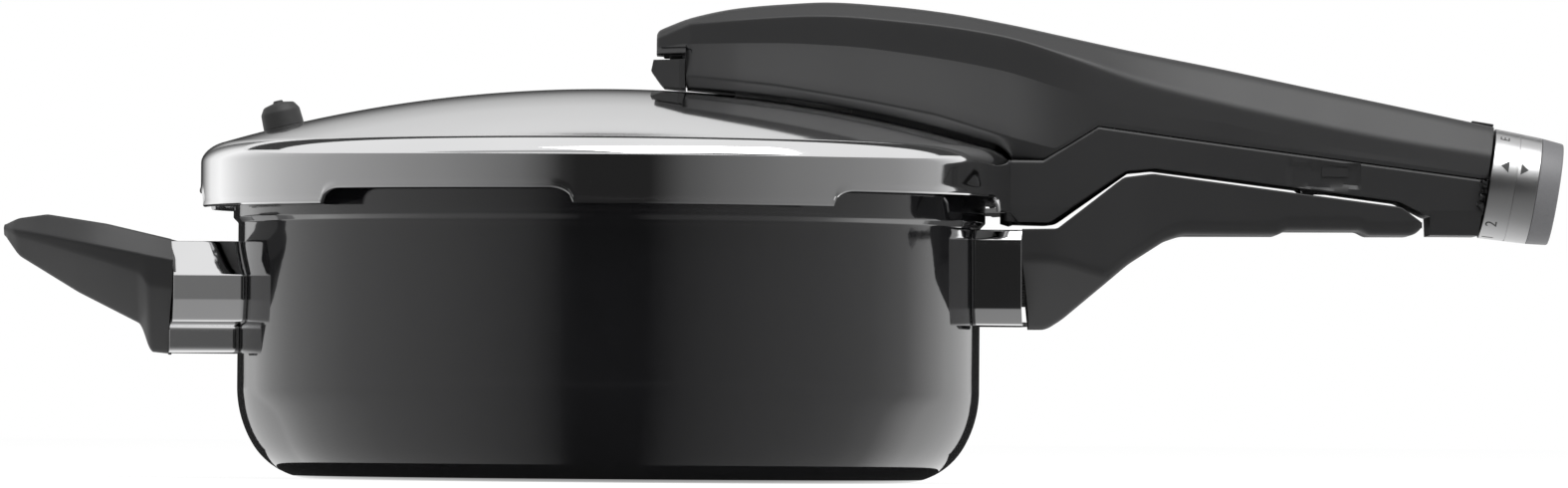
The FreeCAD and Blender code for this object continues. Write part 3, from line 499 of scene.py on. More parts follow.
def machined_finish(name, colour, roughness):
    """Bright metal straight from the tool: fine grain, a little cloudy."""
    made = Finish(name)
    spot = made.position()
    x, y, z = made.split(spot)
    grain = made.noise(made.joined(x * 900.0, y * 900.0, z * 9000.0), 1.0, 3.0)
    cloud = made.noise(spot, 220.0, 2.0)
    return made.surface({
        "Base Color": made.blend(cloud, colour, scaled(colour, 0.86)),
        "Metallic": 1.0,
        "Roughness": roughness + grain * 0.12,
        "Normal": made.bump(grain, 0.2, 0.00003),
    })


def plastic_finish(name, colour, roughness, grain_height):
    """Moulded plastic: spark-eroded grain with a slightly uneven sheen."""
    made = Finish(name)
    spot = made.position()
    grain = made.noise(spot, 2600.0, 3.0, 0.6)
    cloud = made.noise(spot, 70.0, 3.0)
    return made.surface({
        "Base Color": made.blend(grain, scaled(colour, 0.85), scaled(colour, 1.2)),
        "Roughness": roughness + grain * 0.08 + cloud * 0.05,
        "IOR": 1.5,
        "Normal": made.bump(grain, 0.35, grain_height),
    })


def mark_finish(colours):
    """Filled marks on the dial: matt paint, slightly uneven."""
    made = Finish("mark_paint")
    speck = made.noise(made.position(), 3000.0, 2.0)
    return made.surface({
        "Base Color": made.blend(speck, tuple(colours.marks) + (1,), scaled(colours.marks, 1.6)),
        "Roughness": 0.5 + speck * 0.1,
    })


FINISHES = {}


def make_finishes(colours):
    FINISHES.update({
        "enamel": enamel_finish(colours),
        "polished_steel": mirror_finish(colours),
        "satin_steel": satin_finish(colours),
        "plain_steel": machined_finish("steel_machined", shade(0.58), 0.2),
        "handle_black": plastic_finish("plastic_handle", tuple(colours.handle), 0.42, 0.00002),
        "inner_black": plastic_finish("plastic_inner", shade(0.022), 0.5, 0.00003),
        "cap_grey": plastic_finish("plastic_cap", tuple(colours.cap), 0.4, 0.00002),
        "rubber_black": plastic_finish("rubber_valve", shade(0.016), 0.5, 0.00003),
        "seal_grey": plastic_finish("silicone_seal", shade(0.32), 0.42, 0.00002),
        "brass": machined_finish("brass_machined", (0.7, 0.5, 0.22, 1), 0.22),
        "marks": mark_finish(colours),
    })


# ---------------------------------------------------------------- pan and lid


def lug_block(turn, inner, outer, low, high, half):
    """A lug: the closed section inner..outer by low..high swept over half degrees each way."""
    loop = rounded([(inner, low), (outer, low), (outer, high), (inner, high)], [0.2, 0.5, 0.5, 0.2], True)
    angle = np.radians(turn + np.linspace(-half, half, 25))
    middle = loop.mean(0)
    closing = np.concatenate([[0.0], np.ones(25), [0.0]])
    angle = np.concatenate([angle[:1], angle, angle[-1:]])
    r = middle[0] + closing[:, None] * (loop[None, :, 0] - middle[0])
    z = middle[1] + closing[:, None] * (loop[None, :, 1] - middle[1])
    return np.stack([r * np.cos(angle)[:, None], r * np.sin(angle)[:, None], z], -1)


def pan_profile(sizes):
    """Half section of the pan, from the middle of its foot, up the wall, over the rim and down inside."""
    inner = WALL - sizes.pan_wall
    foot = arc((89.4, 22.0), 22.0, -90, -30)
    heel = arc((79.0, 28.0), 34.0, -30, 0)
    floor = 6.0
    cove = arc((inner - 20.0, floor + 20.0), 20.0, 0, -90)
    rim = rounded([(WALL, 60), (WALL, RIM - 16.4), (BAND, RIM - 14.9), (BAND, RIM - 1.7),
                   (BAND + 1, RIM - 1.0),
                   (BAND + 0.9, RIM - 0.1), (inner + 0.6, RIM - 0.1), (inner, RIM - 1.0), (inner, 60)],
                  [0, 0.8, 0.8, 0.6, 0.5, 0.7, 0.6, 0.8, 0])
    rim[:, 1] = np.minimum(rim[:, 1], RIM)
    return np.concatenate([[(0, 0), (40, 0)], foot, heel[1:], rim, cove, [(40, floor), (0, floor)]])


def make_pan(sizes):
    shape = Surface().grid(turned(dense(pan_profile(sizes), 2.5)), wrap_columns=True)
    for turn in LUG_TURNS:
        shape.grid(lug_block(turn, BAND - 1, 120.8, 85.0, 87.5, 13.0), wrap_columns=True)
    piece = shape.build("pan_body", FINISHES["enamel"])
    return place(piece, "pot", "enamel", "pot")


def skirt_edge(turn):
    """Height of the skirt's lower edge: tabs at the lugs, arches between, joined by quarter rounds."""
    from_tab = np.min(np.abs((turn[:, None] - LUG_TURNS + 180) % 360 - 180), 1) - TAB_HALF
    rise = ARCH_EDGE - TAB_EDGE
    along = np.clip(np.radians(from_tab) * SKIRT, 0, rise * 1.6) / (rise * 1.6)
    return TAB_EDGE + rise * np.sqrt(1 - (1 - along) ** 2)


def dome_height(r):
    """Height of the lid's dome, a cap of a sphere."""
    return LID_TOP - DOME + np.sqrt(DOME ** 2 - np.minimum(r, SHOULDER) ** 2)


def lid_surface(r):
    """Height of the lid's outside over a radius, dome and rounded shoulder; far below past the skirt."""
    fall = SKIRT - SHOULDER
    t = np.clip((r - SHOULDER) / fall, 0, 1)
    shoulder = DOME_EDGE - 0.25 * (r - SHOULDER) - fall * 0.7 * (1 - np.sqrt(1 - t ** 2))
    return np.where(r <= SHOULDER, dome_height(r), np.where(r < SKIRT, shoulder, -100.0))


def make_lid(sizes):
    """Dome, rounded shoulder and skirt in one pressed sheet, whose edge rises between the tabs."""
    wall = sizes.lid_wall
    turn = np.linspace(0, 360, 720, endpoint=False)
    edge_bend = SHOULDER + (SKIRT - SHOULDER) * np.sin(np.linspace(0, np.pi / 2, 16))[1:]
    r = np.concatenate([np.linspace(0, SHOULDER, 60), edge_bend])
    outside = np.stack([r, np.where(r < SKIRT, lid_surface(np.minimum(r, SKIRT - 1e-3)), DOME_EDGE - 6.2)], 1)
    bead = np.array([(0.0, 3.0), (0.05, 2.0), (0.3, 1.2), (0.35, 0.6), (0.1, 0.12), (-0.4, 0.0),
                     (-wall + 0.1, 0.15), (-wall, 0.8), (-wall, 3.0)])
    edge = skirt_edge(turn)
    inside = outside[::-1] + np.array([-wall, 0.0])
    inside[:, 1] -= wall * soft_step(inside[:, 0], SKIRT, SHOULDER - 2)
    inside[:, 0] = np.maximum(inside[:, 0], 0)
    bend = outside[-1, 1]
    down = np.linspace(0, 1, 12)[1:-1]
    r_all = np.concatenate([outside[:, 0], SKIRT + 0 * down, SKIRT + bead[:, 0], SKIRT - wall + 0 * down,
                            inside[:, 0]])
    fixed = np.concatenate([outside[:, 1], bend + 0 * down, 0 * bead[:, 0], bend + 0 * down, inside[:, 1]])
    follows = np.concatenate([0 * outside[:, 0], down, 1 + 0 * bead[:, 0], down[::-1], 0 * inside[:, 0]])
    rise = np.concatenate([0 * outside[:, 0], 3 + 0 * down, bead[:, 1], 3 + 0 * down, 0 * inside[:, 0]])
    z = fixed[:, None] * (1 - follows[:, None]) + follows[:, None] * (edge[None] + rise[:, None])
    angle = np.radians(turn)
    points = np.stack([r_all[:, None] * np.cos(angle), r_all[:, None] * np.sin(angle), z], -1)
    shape = Surface().grid(points, wrap_columns=True)
    for lug in LUG_TURNS:
        shape.grid(lug_block(lug, 116.6, SKIRT - wall + 0.2, TAB_EDGE + 0.05, TAB_EDGE + 1.4, 13.0),
                   wrap_columns=True)
    piece = shape.build("lid_shell", FINISHES["polished_steel"])
    return place(piece, "lid", "polished_steel", "lid")


def make_safety_cap():
    """Rubber plug in the dome: a domed button with a small nipple, turned about the dome's normal."""
    outline = rounded([(0, -3.4), (5.4, -3.4), (5.4, -1.3), (3.9, -1.3), (3.9, 0.1), (6.25, 0.1),
                       (6.0, 4.9), (4.7, 7.0),
                       (1.5, 7.7), (1.4, 8.3), (0, 8.3)], [0, 0.5, 0.5, 0.2, 0.2, 0.3, 2.0, 1.6, 0.5, 0.4, 0],
                      steps=12)
    points = turned(outline, 96)
    tilt = math.asin(99.5 / DOME)
    lean = np.array([[math.cos(tilt), 0, -math.sin(tilt)], [0, 1, 0], [math.sin(tilt), 0, math.cos(tilt)]])
    foot = np.array([-99.5, 0, float(dome_height(np.array(99.5)))])
    piece = Surface().grid(points @ lean.T + foot, wrap_columns=True).build("safety_cap",
                                                                            FINISHES["rubber_black"])
    return place(piece, "lid", "rubber_black", "safety_valve_cap")


# ---------------------------------------------------------------- sleeves at the pan's wall


def sleeve(side, end, corners, radii, name, node, flare=0.0):
    """Sheet sleeve: one closed outline (y, z) carried from the pan's wall out to a cylinder of radius end.

    A point at height z and offset y stands at X = side * sqrt(R^2 - y^2), with R from the wall to end.
    """
    loop = section(np.array(corners, float)[None], np.array(radii, float)[None], True, 10, 8)[0]
    reach = np.concatenate([np.linspace(WALL + 0.2, end - 0.6, 12), [end - 0.3, end - 0.1]])
    y = loop[None, :, 0] * (1 + flare * (end - reach))[:, None]
    z = loop[None, :, 1] * np.ones(len(reach))[:, None]
    x = side * np.sqrt(reach[:, None] ** 2 - y ** 2)
    piece = Surface().grid(np.stack([x, y, z], -1), wrap_columns=True).build(name, FINISHES["polished_steel"])
    add_modifier(piece, "SOLIDIFY", thickness=1.1 * MM, offset=-1.0)
    return place(piece, "pot", "polished_steel", node)


def both_sides(half):
    """A half outline, listed from the top down, followed by its mirror from the bottom up."""
    return list(half) + [(-y, z) for y, z in reversed(half)]


def make_sleeves():
    pan = both_sides([(25.4, 77.0), (27.2, 74.0), (26.4, 53.0), (25.0, 48.0)])
    sleeve(1, PAN_SLEEVE, pan, [1, 3, 2.5, 1, 1, 2.5, 3, 1], "pan_sleeve", "pan_flame_guard")
    helper = both_sides([(16.0, 71.8), (24.8, 63.2), (26.6, 61.4), (26.6, 54.0), (25.4, 47.4), (14.8, 46.0),
                         (14.8, 37.9)])
    radii = [1.5, 1.0, 1.0, 3, 1, 1, 1.5]
    sleeve(-1, HELPER_SLEEVE, helper, radii + radii[::-1], "helper_sleeve", "helper_flame_guard", 0.008)


# ---------------------------------------------------------------- handles

PAN_PARTING = [(118, 77.2), (138.5, 77.6), (157.5, 93.4), (166, 94.6), (241, 85.1), (247.2, 80.5)]
LID_PARTING = [(118, 79.4), (135.6, 79.0), (137.2, 80.0), (158, 94.9), (166.5, 95.8), (240, 86.4),
               (248.9, 82.0)]
GRIP_WIDTHS = [(118, 27), (133, 27), (148, 24), (163, 20.1), (180, 17.8), (198, 16.6), (272, 16.6)]
PAN_BOTTOM = [(118, 47.0), (133.2, 47.1), (137.7, 50.0), (157.5, 66.9), (168.6, 74.1), (174, 76.0),
              (249.1, 76.35)]


def softened_line(points, x, reach=1.2):
    """A straight-sided line with its corners eased: the mean of five looks along it."""
    points = np.array(points, float)
    looks = [np.interp(x + shift, points[:, 0], points[:, 1]) for shift in np.linspace(-reach, reach, 5)]
    return np.mean(looks, 0)


def capped(points, low_cap=True, high_cap=True):
    """Close the ends of a tube of outlines with rings that shrink to each end's middle."""
    rings = [points]
    for wanted, row, front in ((low_cap, points[0], True), (high_cap, points[-1], False)):
        if not wanted:
            continue
        middle = row.mean(0)
        shrink = np.array([0.0, 0.5, 0.96])[:, None, None]
        cap = middle + shrink * (row - middle)[None]
        rings = [cap] + rings if front else rings + [cap[::-1]]
    return np.concatenate(rings)


def end_round(x, end, radius):
    """How far an outline shrinks near an end so that its edge is a quarter round."""
    t = np.clip((radius - np.abs(end - x)) / radius, 0, 1)
    return radius * (1 - np.sqrt(1 - t ** 2))


def close_stations(low, high, count, ends=1.5):
    """Stations along X, evenly spaced, with finer ones inside both ends."""
    fine = ends * (1 - np.cos(np.linspace(0, np.pi / 2, 7)))
    inner = np.linspace(low + ends, high - ends, count)
    return np.concatenate([low + fine[:-1], inner, high - fine[:-1][::-1]])


def make_pan_handle():
    """Long handle on the pan: flat parting face on top, flanks that draw in to a keel, flat grip below.

    The upper face is the parting surface, a height over the distance from the pan's axis, so each
    outline's upper side takes its height from hypot(x, y).
    """
    x = close_stations(PAN_SLEEVE - 6, 247.2, 240)
    ease = end_round(x, 247.2, 1.5)
    half = track(GRIP_WIDTHS, x) - ease
    heel = end_round(x, 247.2, 5.0)
    hollow = 1.4 * soft_step(x, 202, 206) * (1 - soft_step(x, 227, 231))
    base = softened_line(PAN_BOTTOM, x) + hollow + heel
    top = parting_height(x, half) - ease
    keel = np.minimum(half - 1.5, np.maximum(8 + (base - 46.5) * 19 / 21.5, 8))
    flank = np.minimum(np.maximum(46.5 + (half - 8) * 21.5 / 19, base + 3.5), top - 0.6)
    rows = [(half, top), (half, flank), (keel, base), (-keel, base), (-half, flank), (-half, top)]
    corners = np.stack([np.stack(row, 1) for row in rows], 1)
    radii = np.tile([0.5, 6.0, 4.0, 4.0, 6.0, 0.5], (len(x), 1))
    loop = section(corners, radii, True, 8, 16)
    y = loop[..., 0]
    station = x[:, None] + 0 * y
    station = np.where(station < 140, np.maximum(station, np.sqrt(PAN_SLEEVE ** 2 - y ** 2)), station)
    station = np.minimum(station, np.sqrt(247.2 ** 2 - y ** 2))
    on_top = np.arange(loop.shape[1]) >= loop.shape[1] - 16
    parting = parting_height(station, y)
    level = np.where(on_top, parting - ease[:, None], np.minimum(loop[..., 1], parting))
    points = np.stack([station, y, level], -1)
    piece = Surface().grid(capped(points), wrap_columns=True).build("pan_grip", FINISHES["handle_black"],
                                                                    24.0)
    drill(piece, upright_pin(213.0, 0, 3.3, 85.7, 120))
    return place(piece, "pot", "handle_black", "pan_handle")


def parting_height(x, y):
    return softened_line(PAN_PARTING, np.hypot(x, y), 0.8) - 0.1


HELPER_TOP = [(-184, 76.4), (-179.4, 78.4), (-170.3, 79.6), (-152, 76.8), (-131, 72.0)]
HELPER_BOTTOM = [(-184, 73.6), (-179.4, 67.1), (-161.2, 56.1), (-142, 46.5), (-139.2, 38.2), (-131, 37.4)]
HELPER_WIDTHS = [(-184, 9), (-180, 15), (-170, 20), (-154, 24.5), (-131, 26)]
HELPER_CREASE = [(-184, 75.6), (-133, 66.0), (-126, 64.7)]


def make_helper_handle():
    """Short handle: a wide ledge to lift by, a crease along each flank and a keel that hugs the sleeve."""
    x = close_stations(HELPER_TIP, -(HELPER_SLEEVE - 5), 120)
    half = track(HELPER_WIDTHS, x)
    top = softened_line(HELPER_TOP, x, 0.8)
    base = softened_line(HELPER_BOTTOM, x, 0.8)
    crease = np.clip(np.interp(x, *np.array(HELPER_CREASE).T), base + 0.8, top - 0.8)
    keel = np.minimum(9.0, half * 0.8)
    low = np.minimum(base + (half - keel) * 0.55, crease - 0.6)
    shelf = np.maximum(half - 4.5, half * 0.7)
    rows = [(shelf, top), (half, crease), (half * 0.9 + keel * 0.1, 0.55 * crease + 0.45 * low), (keel, base)]
    rows = rows + [(-y, z) for y, z in reversed(rows)]
    corners = np.stack([np.stack(row, 1) for row in rows], 1)
    radii = np.tile([1.5, 1.5, 5.0, 3.0, 3.0, 5.0, 1.5, 1.5], (len(x), 1))
    loop = section(corners, radii, True, 6, 5)
    y = loop[..., 0]
    station = x[:, None] + 0 * y
    station = np.where(station > -142, np.minimum(station, -np.sqrt(HELPER_SLEEVE ** 2 - y ** 2)), station)
    points = np.stack([station, y, loop[..., 1]], -1)
    piece = Surface().grid(capped(points), wrap_columns=True).build("helper_grip", FINISHES["handle_black"],
                                                                    24.0)
    return place(piece, "pot", "handle_black", "helper_handle")


HOOD_TOP = [(14, 136.9), (16.1, 137.9), (25.2, 141.3), (38.8, 144.1), (52.5, 145.4), (66.1, 146.1),
            (84.3, 145.1), (102.5, 143.1),
            (120.8, 139.9), (139, 136.1), (157.2, 132.3), (184.5, 127.1), (211.8, 121.5), (239.1, 116),
            (270.1, 109.6)]
HOOD_CREASE = [(14, 134.6), (24.5, 139.1), (64.2, 141.5), (92.1, 139.6), (117.7, 136), (140.5, 129.5),
               (163.2, 122.1),
               (184.5, 116.7), (239, 105.5), (270.1, 101.0)]
HOOD_WAIST = [(14, 131.6), (24.5, 132.8), (50.3, 133.1), (71.2, 132.3), (92.1, 129.9), (117.7, 125.5),
              (140, 119.0),
              (163, 113), (185, 110.0), (225, 102.0), (270.1, 96.5)]
HOOD_BELT = [(14, 130.2), (22.8, 123.1), (50.3, 120.1), (78.2, 115.5), (99, 111.5), (117.7, 105.7),
             (135, 101.6), (148.2, 110.0),
             (155, 109.4), (173.5, 106.8), (208.7, 102.3), (236.9, 98.7), (270.1, 94.2)]
SEAM = [(118, 98.2), (131.5, 98.2), (148.2, 108.6), (297.1, 89.55)]
HOOD_WIDTHS = [(14, 10), (24.2, 18.6), (30, 20.6), (40, 23), (66, 25.4), (92, 26.6), (118, 27), (140, 24.5),
               (163, 20.5),
               (185, 17.8), (225, 16.6), (271, 16.6)]


def square_end(points, along=-0.8):
    """Trim stations past the dial's face back onto a plane square to the rod."""
    beyond = (points - DIAL) @ ROD - along
    return points - np.maximum(beyond, 0)[..., None] * np.array([1 / math.cos(TILT), 0, 0])


def make_hood():
    """Upper shell of the lid handle: a hollow cover whose flanks carry three creases down to the seam."""
    x = np.concatenate([14 + 1.2 * (1 - np.cos(np.linspace(0, np.pi / 2, 6)))[:-1],
                        np.linspace(15.2, 22.9, 16), [23.15, 23.8],
                        np.linspace(24.2, 275, 260)])
    half = track(HOOD_WIDTHS, x, (24.2,)) - end_round(x, 14, 1.2)
    top = track(HOOD_TOP, x) - end_round(x, 14, 1.2)
    crease = np.minimum(track(HOOD_CREASE, x, (24.5,)), top - 0.5)
    waist = np.minimum(track(HOOD_WAIST, x), crease - 0.4)
    belt = np.minimum(np.interp(x, *np.array(HOOD_BELT).T), waist - 0.3)
    fade = soft_step(x, 120, 150)
    shoulder = 0.80 + 0.15 * fade
    rib = 0.815 + 0.17 * fade
    hem = half * (0.88 + 0.12 * soft_step(x, 118, 140))
    seam = np.interp(x, *np.array(SEAM).T) + 0.15
    over_lid = lid_surface(np.hypot(x, hem)) + 1.2
    foot = np.where(np.hypot(x, hem) < SKIRT + 1.2, np.maximum(over_lid, seam), seam)
    foot = np.where(x < 23.1, 129.7, np.where(x < 118, over_lid, foot))
    belt = np.maximum(belt, foot + 0.3)
    waist = np.maximum(waist, belt + 0.3)
    crown = half * 0.55
    rows = [(half * 0 + hem, foot), (half * 1.0, belt), (half * rib, waist), (half * shoulder, crease),
            (crown, top - 0.7), (crown * 0.45, top)]
    rows = rows + [(-y, z) for y, z in reversed(rows)]
    corners = np.stack([np.stack(row, 1) for row in rows], 1)
    sharpness = np.tile([0, 1.2, 1.0, 1.0, 6.0, 6.0, 6.0, 6.0, 1.0, 1.0, 1.2, 0], (len(x), 1)).astype(float)
    spread = 1 + 4 * soft_step(x, 125, 170)
    sharpness[:, 2:4] *= spread[:, None]
    sharpness[:, 8:10] *= spread[:, None]
    loop = section(corners, sharpness, False, 6, 4)
    y = loop[..., 0]
    points = square_end(np.stack([x[:, None] + 0 * y, y, loop[..., 1]], -1))
    points = np.concatenate([shut_nose(points[0]), points, shut_end(points[-1])])
    piece = Surface().grid(points).build("handle_hood", FINISHES["handle_black"], 22.0)
    add_modifier(piece, "SOLIDIFY", thickness=2.2 * MM, offset=-1.0)
    return place(piece, "lid", "handle_black", "lid_handle_top")


def make_latch_riser():
    """The latch's arm inside the nose: a rounded block that stands up behind its lip."""
    x = close_stations(18.0, 24.2, 4, 0.6)
    loop = rounded([(8, 120.6), (8, 130.6), (-8, 130.6), (-8, 120.6)], [0.5] * 4, True)
    ease = (end_round(x, 18.0, 0.6) + end_round(x, 24.2, 0.6))[:, None]
    y = loop[None, :, 0] * (1 - ease / 8)
    z = loop[None, :, 1] - ease * np.sign(loop[None, :, 1] - 128)
    points = np.stack([x[:, None] + 0 * y, y, z], -1)
    piece = Surface().grid(capped(points), wrap_columns=True).build("latch_riser", FINISHES["inner_black"])
    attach(piece, "latch")


def shut_nose(row):
    """Rings from the middle of the nose's lower edge out to its outline."""
    middle = np.array([row[0, 0], 0, row[0, 2]])
    return middle + np.array([0.0, 0.5, 0.95])[:, None, None] * (row - middle)[None]


def shut_end(row):
    """Rings from the outline at the dial's face in to a hole round the rod."""
    middle = DIAL + ROD * -0.8
    return middle + np.array([0.96, 0.7, 0.4])[:, None, None] * (row - middle)[None]


def make_keel_shell():
    """Lower shell of the lid handle: a trough under the seam, parted from the pan's handle below it."""
    x = np.concatenate([np.linspace(118, 248.6, 230), [248.9, 249.1], np.linspace(249.6, 275, 40)])
    half = track(HOOD_WIDTHS, x)
    seam = np.interp(x, *np.array(SEAM).T) - 0.15
    base = np.where(x < 249.0, 0.0, 76.5)
    shape_rows = 6
    rows = [(half - 0.35, seam), (half, seam - 0.7), (half, np.minimum(seam - 4, 84)), (half - 2, base)]
    rows = rows + [(-y, z) for y, z in reversed(rows)]
    corners = np.stack([np.stack(row, 1) for row in rows], 1)
    radii = np.tile([0.0, 0.3, 1.0, 1.0, 1.0, 1.0, 0.3, 0.0], (len(x), 1))
    loop = section(corners, radii, False, shape_rows, 10)
    y = loop[..., 0]
    z = loop[..., 1]
    station = x[:, None] + 0 * y
    in_block = x[:, None] > 249.0
    floor = softened_line(LID_PARTING, np.hypot(np.minimum(station, 248.9), y), 0.6) + 0.1
    lip = end_round(np.abs(y), half[:, None], 1.0)
    z = np.where(in_block, z, np.maximum(z, floor + 0.6 * np.clip(lip, 0, 1)))
    z = np.minimum(z, seam[:, None])
    window = soft_step(station, 205, 207.5) * (1 - soft_step(station, 227.2, 228))
    window = window * soft_step(z, 90.2, 90.9) * (1 - soft_step(z, 97.5, 98.2))
    y = y - np.sign(y) * 0.8 * window
    station = np.where(station < 125, np.maximum(station, np.sqrt((SKIRT + 0.1) ** 2 - y ** 2)), station)
    points = square_end(np.stack([station, y, z], -1))
    points = np.concatenate([points, shut_end(points[-1])])
    piece = Surface().grid(points).build("handle_keel", FINISHES["handle_black"], 24.0)
    add_modifier(piece, "SOLIDIFY", thickness=2.2 * MM, offset=-1.0)
    return place(piece, "lid", "handle_black", "lid_handle_base")


# ---------------------------------------------------------------- dial


def make_dial_ring(sizes):
    """Turned ring, slightly conical, with one fine groove."""
    length = 14.6
    groove = sizes.groove
    outline = rounded([(0, 15.0), (0, 16.85), (groove - 0.15, 16.56), (groove - 0.1, 16.3),
                       (groove + 0.1, 16.3),
                       (groove + 0.15, 16.54), (length, 16.25), (length, 15.0)],
                      [0, 0.35, 0.03, 0.03, 0.03, 0.03, 0.3, 0])
    ring = Surface().grid(turned_on_rod(outline, 192), wrap_rows=True, wrap_columns=True)
    place(ring.build("dial_sleeve", FINISHES["satin_steel"]), "dial", "satin_steel", "dial_ring")


def make_dial_cap():
    """Grey cap on the dial's end: a shallow dish inside a rounded rim."""
    start = 14.65
    end = 21.3
    outline = rounded([(start, 14.4), (start, 16.25), (end, 15.55), (end, 13.0), (end - 0.6, 12.2),
                       (end - 0.6, 0)],
                      [0, 0.25, 0.7, 0.4, 0.4, 0])
    cap = Surface().grid(turned_on_rod(outline, 192), wrap_columns=True)
    piece = cap.build("dial_end", FINISHES["cap_grey"])
    add_modifier(piece, "SOLIDIFY", thickness=1.0 * MM, offset=-1.0)
    place(piece, "dial", "cap_grey", "dial_cap")


def flat_text(words, height):
    """A filled sign as a flat mesh, centred and one height tall, in millimetres."""
    curve = bpy.data.curves.new("sign", "FONT")
    curve.body = words
    curve.align_x = "CENTER"
    curve.align_y = "CENTER"
    curve.size = height / 0.72
    curve.fill_mode = "FRONT"
    holder = bpy.data.objects.new("sign", curve)
    bpy.context.scene.collection.objects.link(holder)
    bpy.context.view_layer.update()
    mesh = bpy.data.meshes.new_from_object(holder)
    bpy.data.objects.remove(holder)
    return mesh


def arrow_sign(length, width, points_left):
    """A solid triangle that points along the rod."""
    side = -1 if points_left else 1
    mesh = bpy.data.meshes.new("arrow")
    corners = [(side * length / 2, 0, 0), (-side * length / 2, width / 2, 0),
               (-side * length / 2, -width / 2, 0)]
    mesh.from_pydata(corners, [], [(0, 1, 2)])
    return mesh


def wrap_sign(mesh, along, turn, spin):
    """Bend a flat sign onto the dial: its own X runs along the rod after a spin, its Y round it."""
    shape = bmesh.new()
    shape.from_mesh(mesh)
    bmesh.ops.triangulate(shape, faces=shape.faces)
    bmesh.ops.subdivide_edges(shape, edges=shape.edges, cuts=3, use_grid_fill=True)
    bmesh.ops.triangulate(shape, faces=shape.faces)
    shape.to_mesh(mesh)
    shape.free()
    flat = np.zeros(len(mesh.vertices) * 3)
    mesh.vertices.foreach_get("co", flat)
    flat = flat.reshape(-1, 3)
    flat[:, :2] -= (flat[:, :2].min(0) + flat[:, :2].max(0)) / 2
    angle = math.radians(spin)
    run = along + flat[:, 0] * math.cos(angle) - flat[:, 1] * math.sin(angle)
    climb = flat[:, 0] * math.sin(angle) + flat[:, 1] * math.cos(angle)
    radius = 16.85 - run * 0.6 / 14.6 + 0.05
    bend = math.radians(turn) + climb / radius
    points = on_rod(run, -radius * np.cos(bend), radius * np.sin(bend)) * MM
    mesh.vertices.foreach_set("co", points.ravel())
    return mesh


def make_dial_marks(sizes):
    """Signs round the dial: arrows on both sides of the groove, settings before it."""
    signs = [wrap_sign(arrow_sign(2.4, 3.7, True), 3.9, 19.5, 0),
             wrap_sign(arrow_sign(2.4, 3.7, False), 10.0, 19.5, 0),
             wrap_sign(flat_text("2", 3.6), 2.7, -47, 90), wrap_sign(flat_text("1", 3.6), 2.7, -75, 90),
             wrap_sign(flat_text("E", 3.0), 3.0, 57, 90)]
    joined = bmesh.new()
    for sign in signs:
        joined.from_mesh(sign)
    mesh = bpy.data.meshes.new("dial_marks")
    joined.to_mesh(mesh)
    joined.free()
    mesh.materials.append(FINISHES["marks"])
    piece = bpy.data.objects.new("dial_marks", mesh)
    bpy.context.scene.collection.objects.link(piece)
    add_modifier(piece, "SOLIDIFY", thickness=0.05 * MM, offset=-1.0)
    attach(piece, "dial")


# ---------------------------------------------------------------- studio


def emission(name, strength_of):
    """A material that only glows, with the strength that strength_of(made) gives."""
    made = Finish(name)
    glow = made.node("ShaderNodeEmission", {}, {"Color": (1, 1, 1, 1), "Strength": strength_of(made)})
    made.node_out(glow)
    return made.material


def staged(shape, name, material, camera=False):
    """A card that is not part of the object: seen in reflections, and by the camera only if asked."""
    piece = shape.build(name, material)
    piece.visible_camera = camera
    piece.visible_diffuse = False
    piece.visible_shadow = False
    return piece


def ray_kinds(made, kinds):
    """1 for the kinds of ray that are named, 0 for all others."""
    seen = 0.0
    for kind in kinds:
        seen = made.node("ShaderNodeMath", {"operation": "MAXIMUM"},
                         {0: seen, 1: made.node("ShaderNodeLightPath", {}, {}, kind)})
    return seen


def make_world():
    """White to the camera and in mirrors, and dimmer as a light on the object."""
    world = bpy.data.worlds.new("Studio")
    bpy.context.scene.world = world
    made = Finish("Studio", world)
    seen = ray_kinds(made, ("Is Camera Ray", "Is Glossy Ray", "Is Transmission Ray"))
    level = made.node("ShaderNodeMapRange", {}, {"Value": seen, "To Min": 0.55, "To Max": 1.0})
    back = made.node("ShaderNodeBackground", {}, {"Color": (1, 1, 1, 1), "Strength": level})
    made.node("ShaderNodeOutputWorld", {}, {"Surface": back}, None)


def floor_material():
    """White table: glows white to the camera and in mirrors, with the object's shadow kept in part."""
    made = Finish("studio_floor")
    seen = ray_kinds(made, ("Is Camera Ray", "Is Glossy Ray"))
    cloth = made.node("ShaderNodeBsdfDiffuse", {}, {"Color": (0.85, 0.85, 0.85, 1)})
    glow = made.node("ShaderNodeEmission", {}, {"Color": (1, 1, 1, 1), "Strength": 1.08})
    made.node_out(made.node("ShaderNodeMixShader", {}, {0: seen * 0.85, 1: cloth, 2: glow}))
    return made.material


def make_floor():
    reach = 6000.0
    side = np.array([-reach, reach])
    flat = np.stack(np.meshgrid(side, side, indexing="ij") + [np.zeros((2, 2)) - 0.05], -1)
    piece = Surface().grid(flat).build("floor", floor_material())


# The studio's reaches from the pan's axis, its level cards' height, and half the back strip in degrees.
WALL_REACH = 3900
BACK_REACH = 3700
CARD_HEIGHT = 2450
BACK_HALF = 15

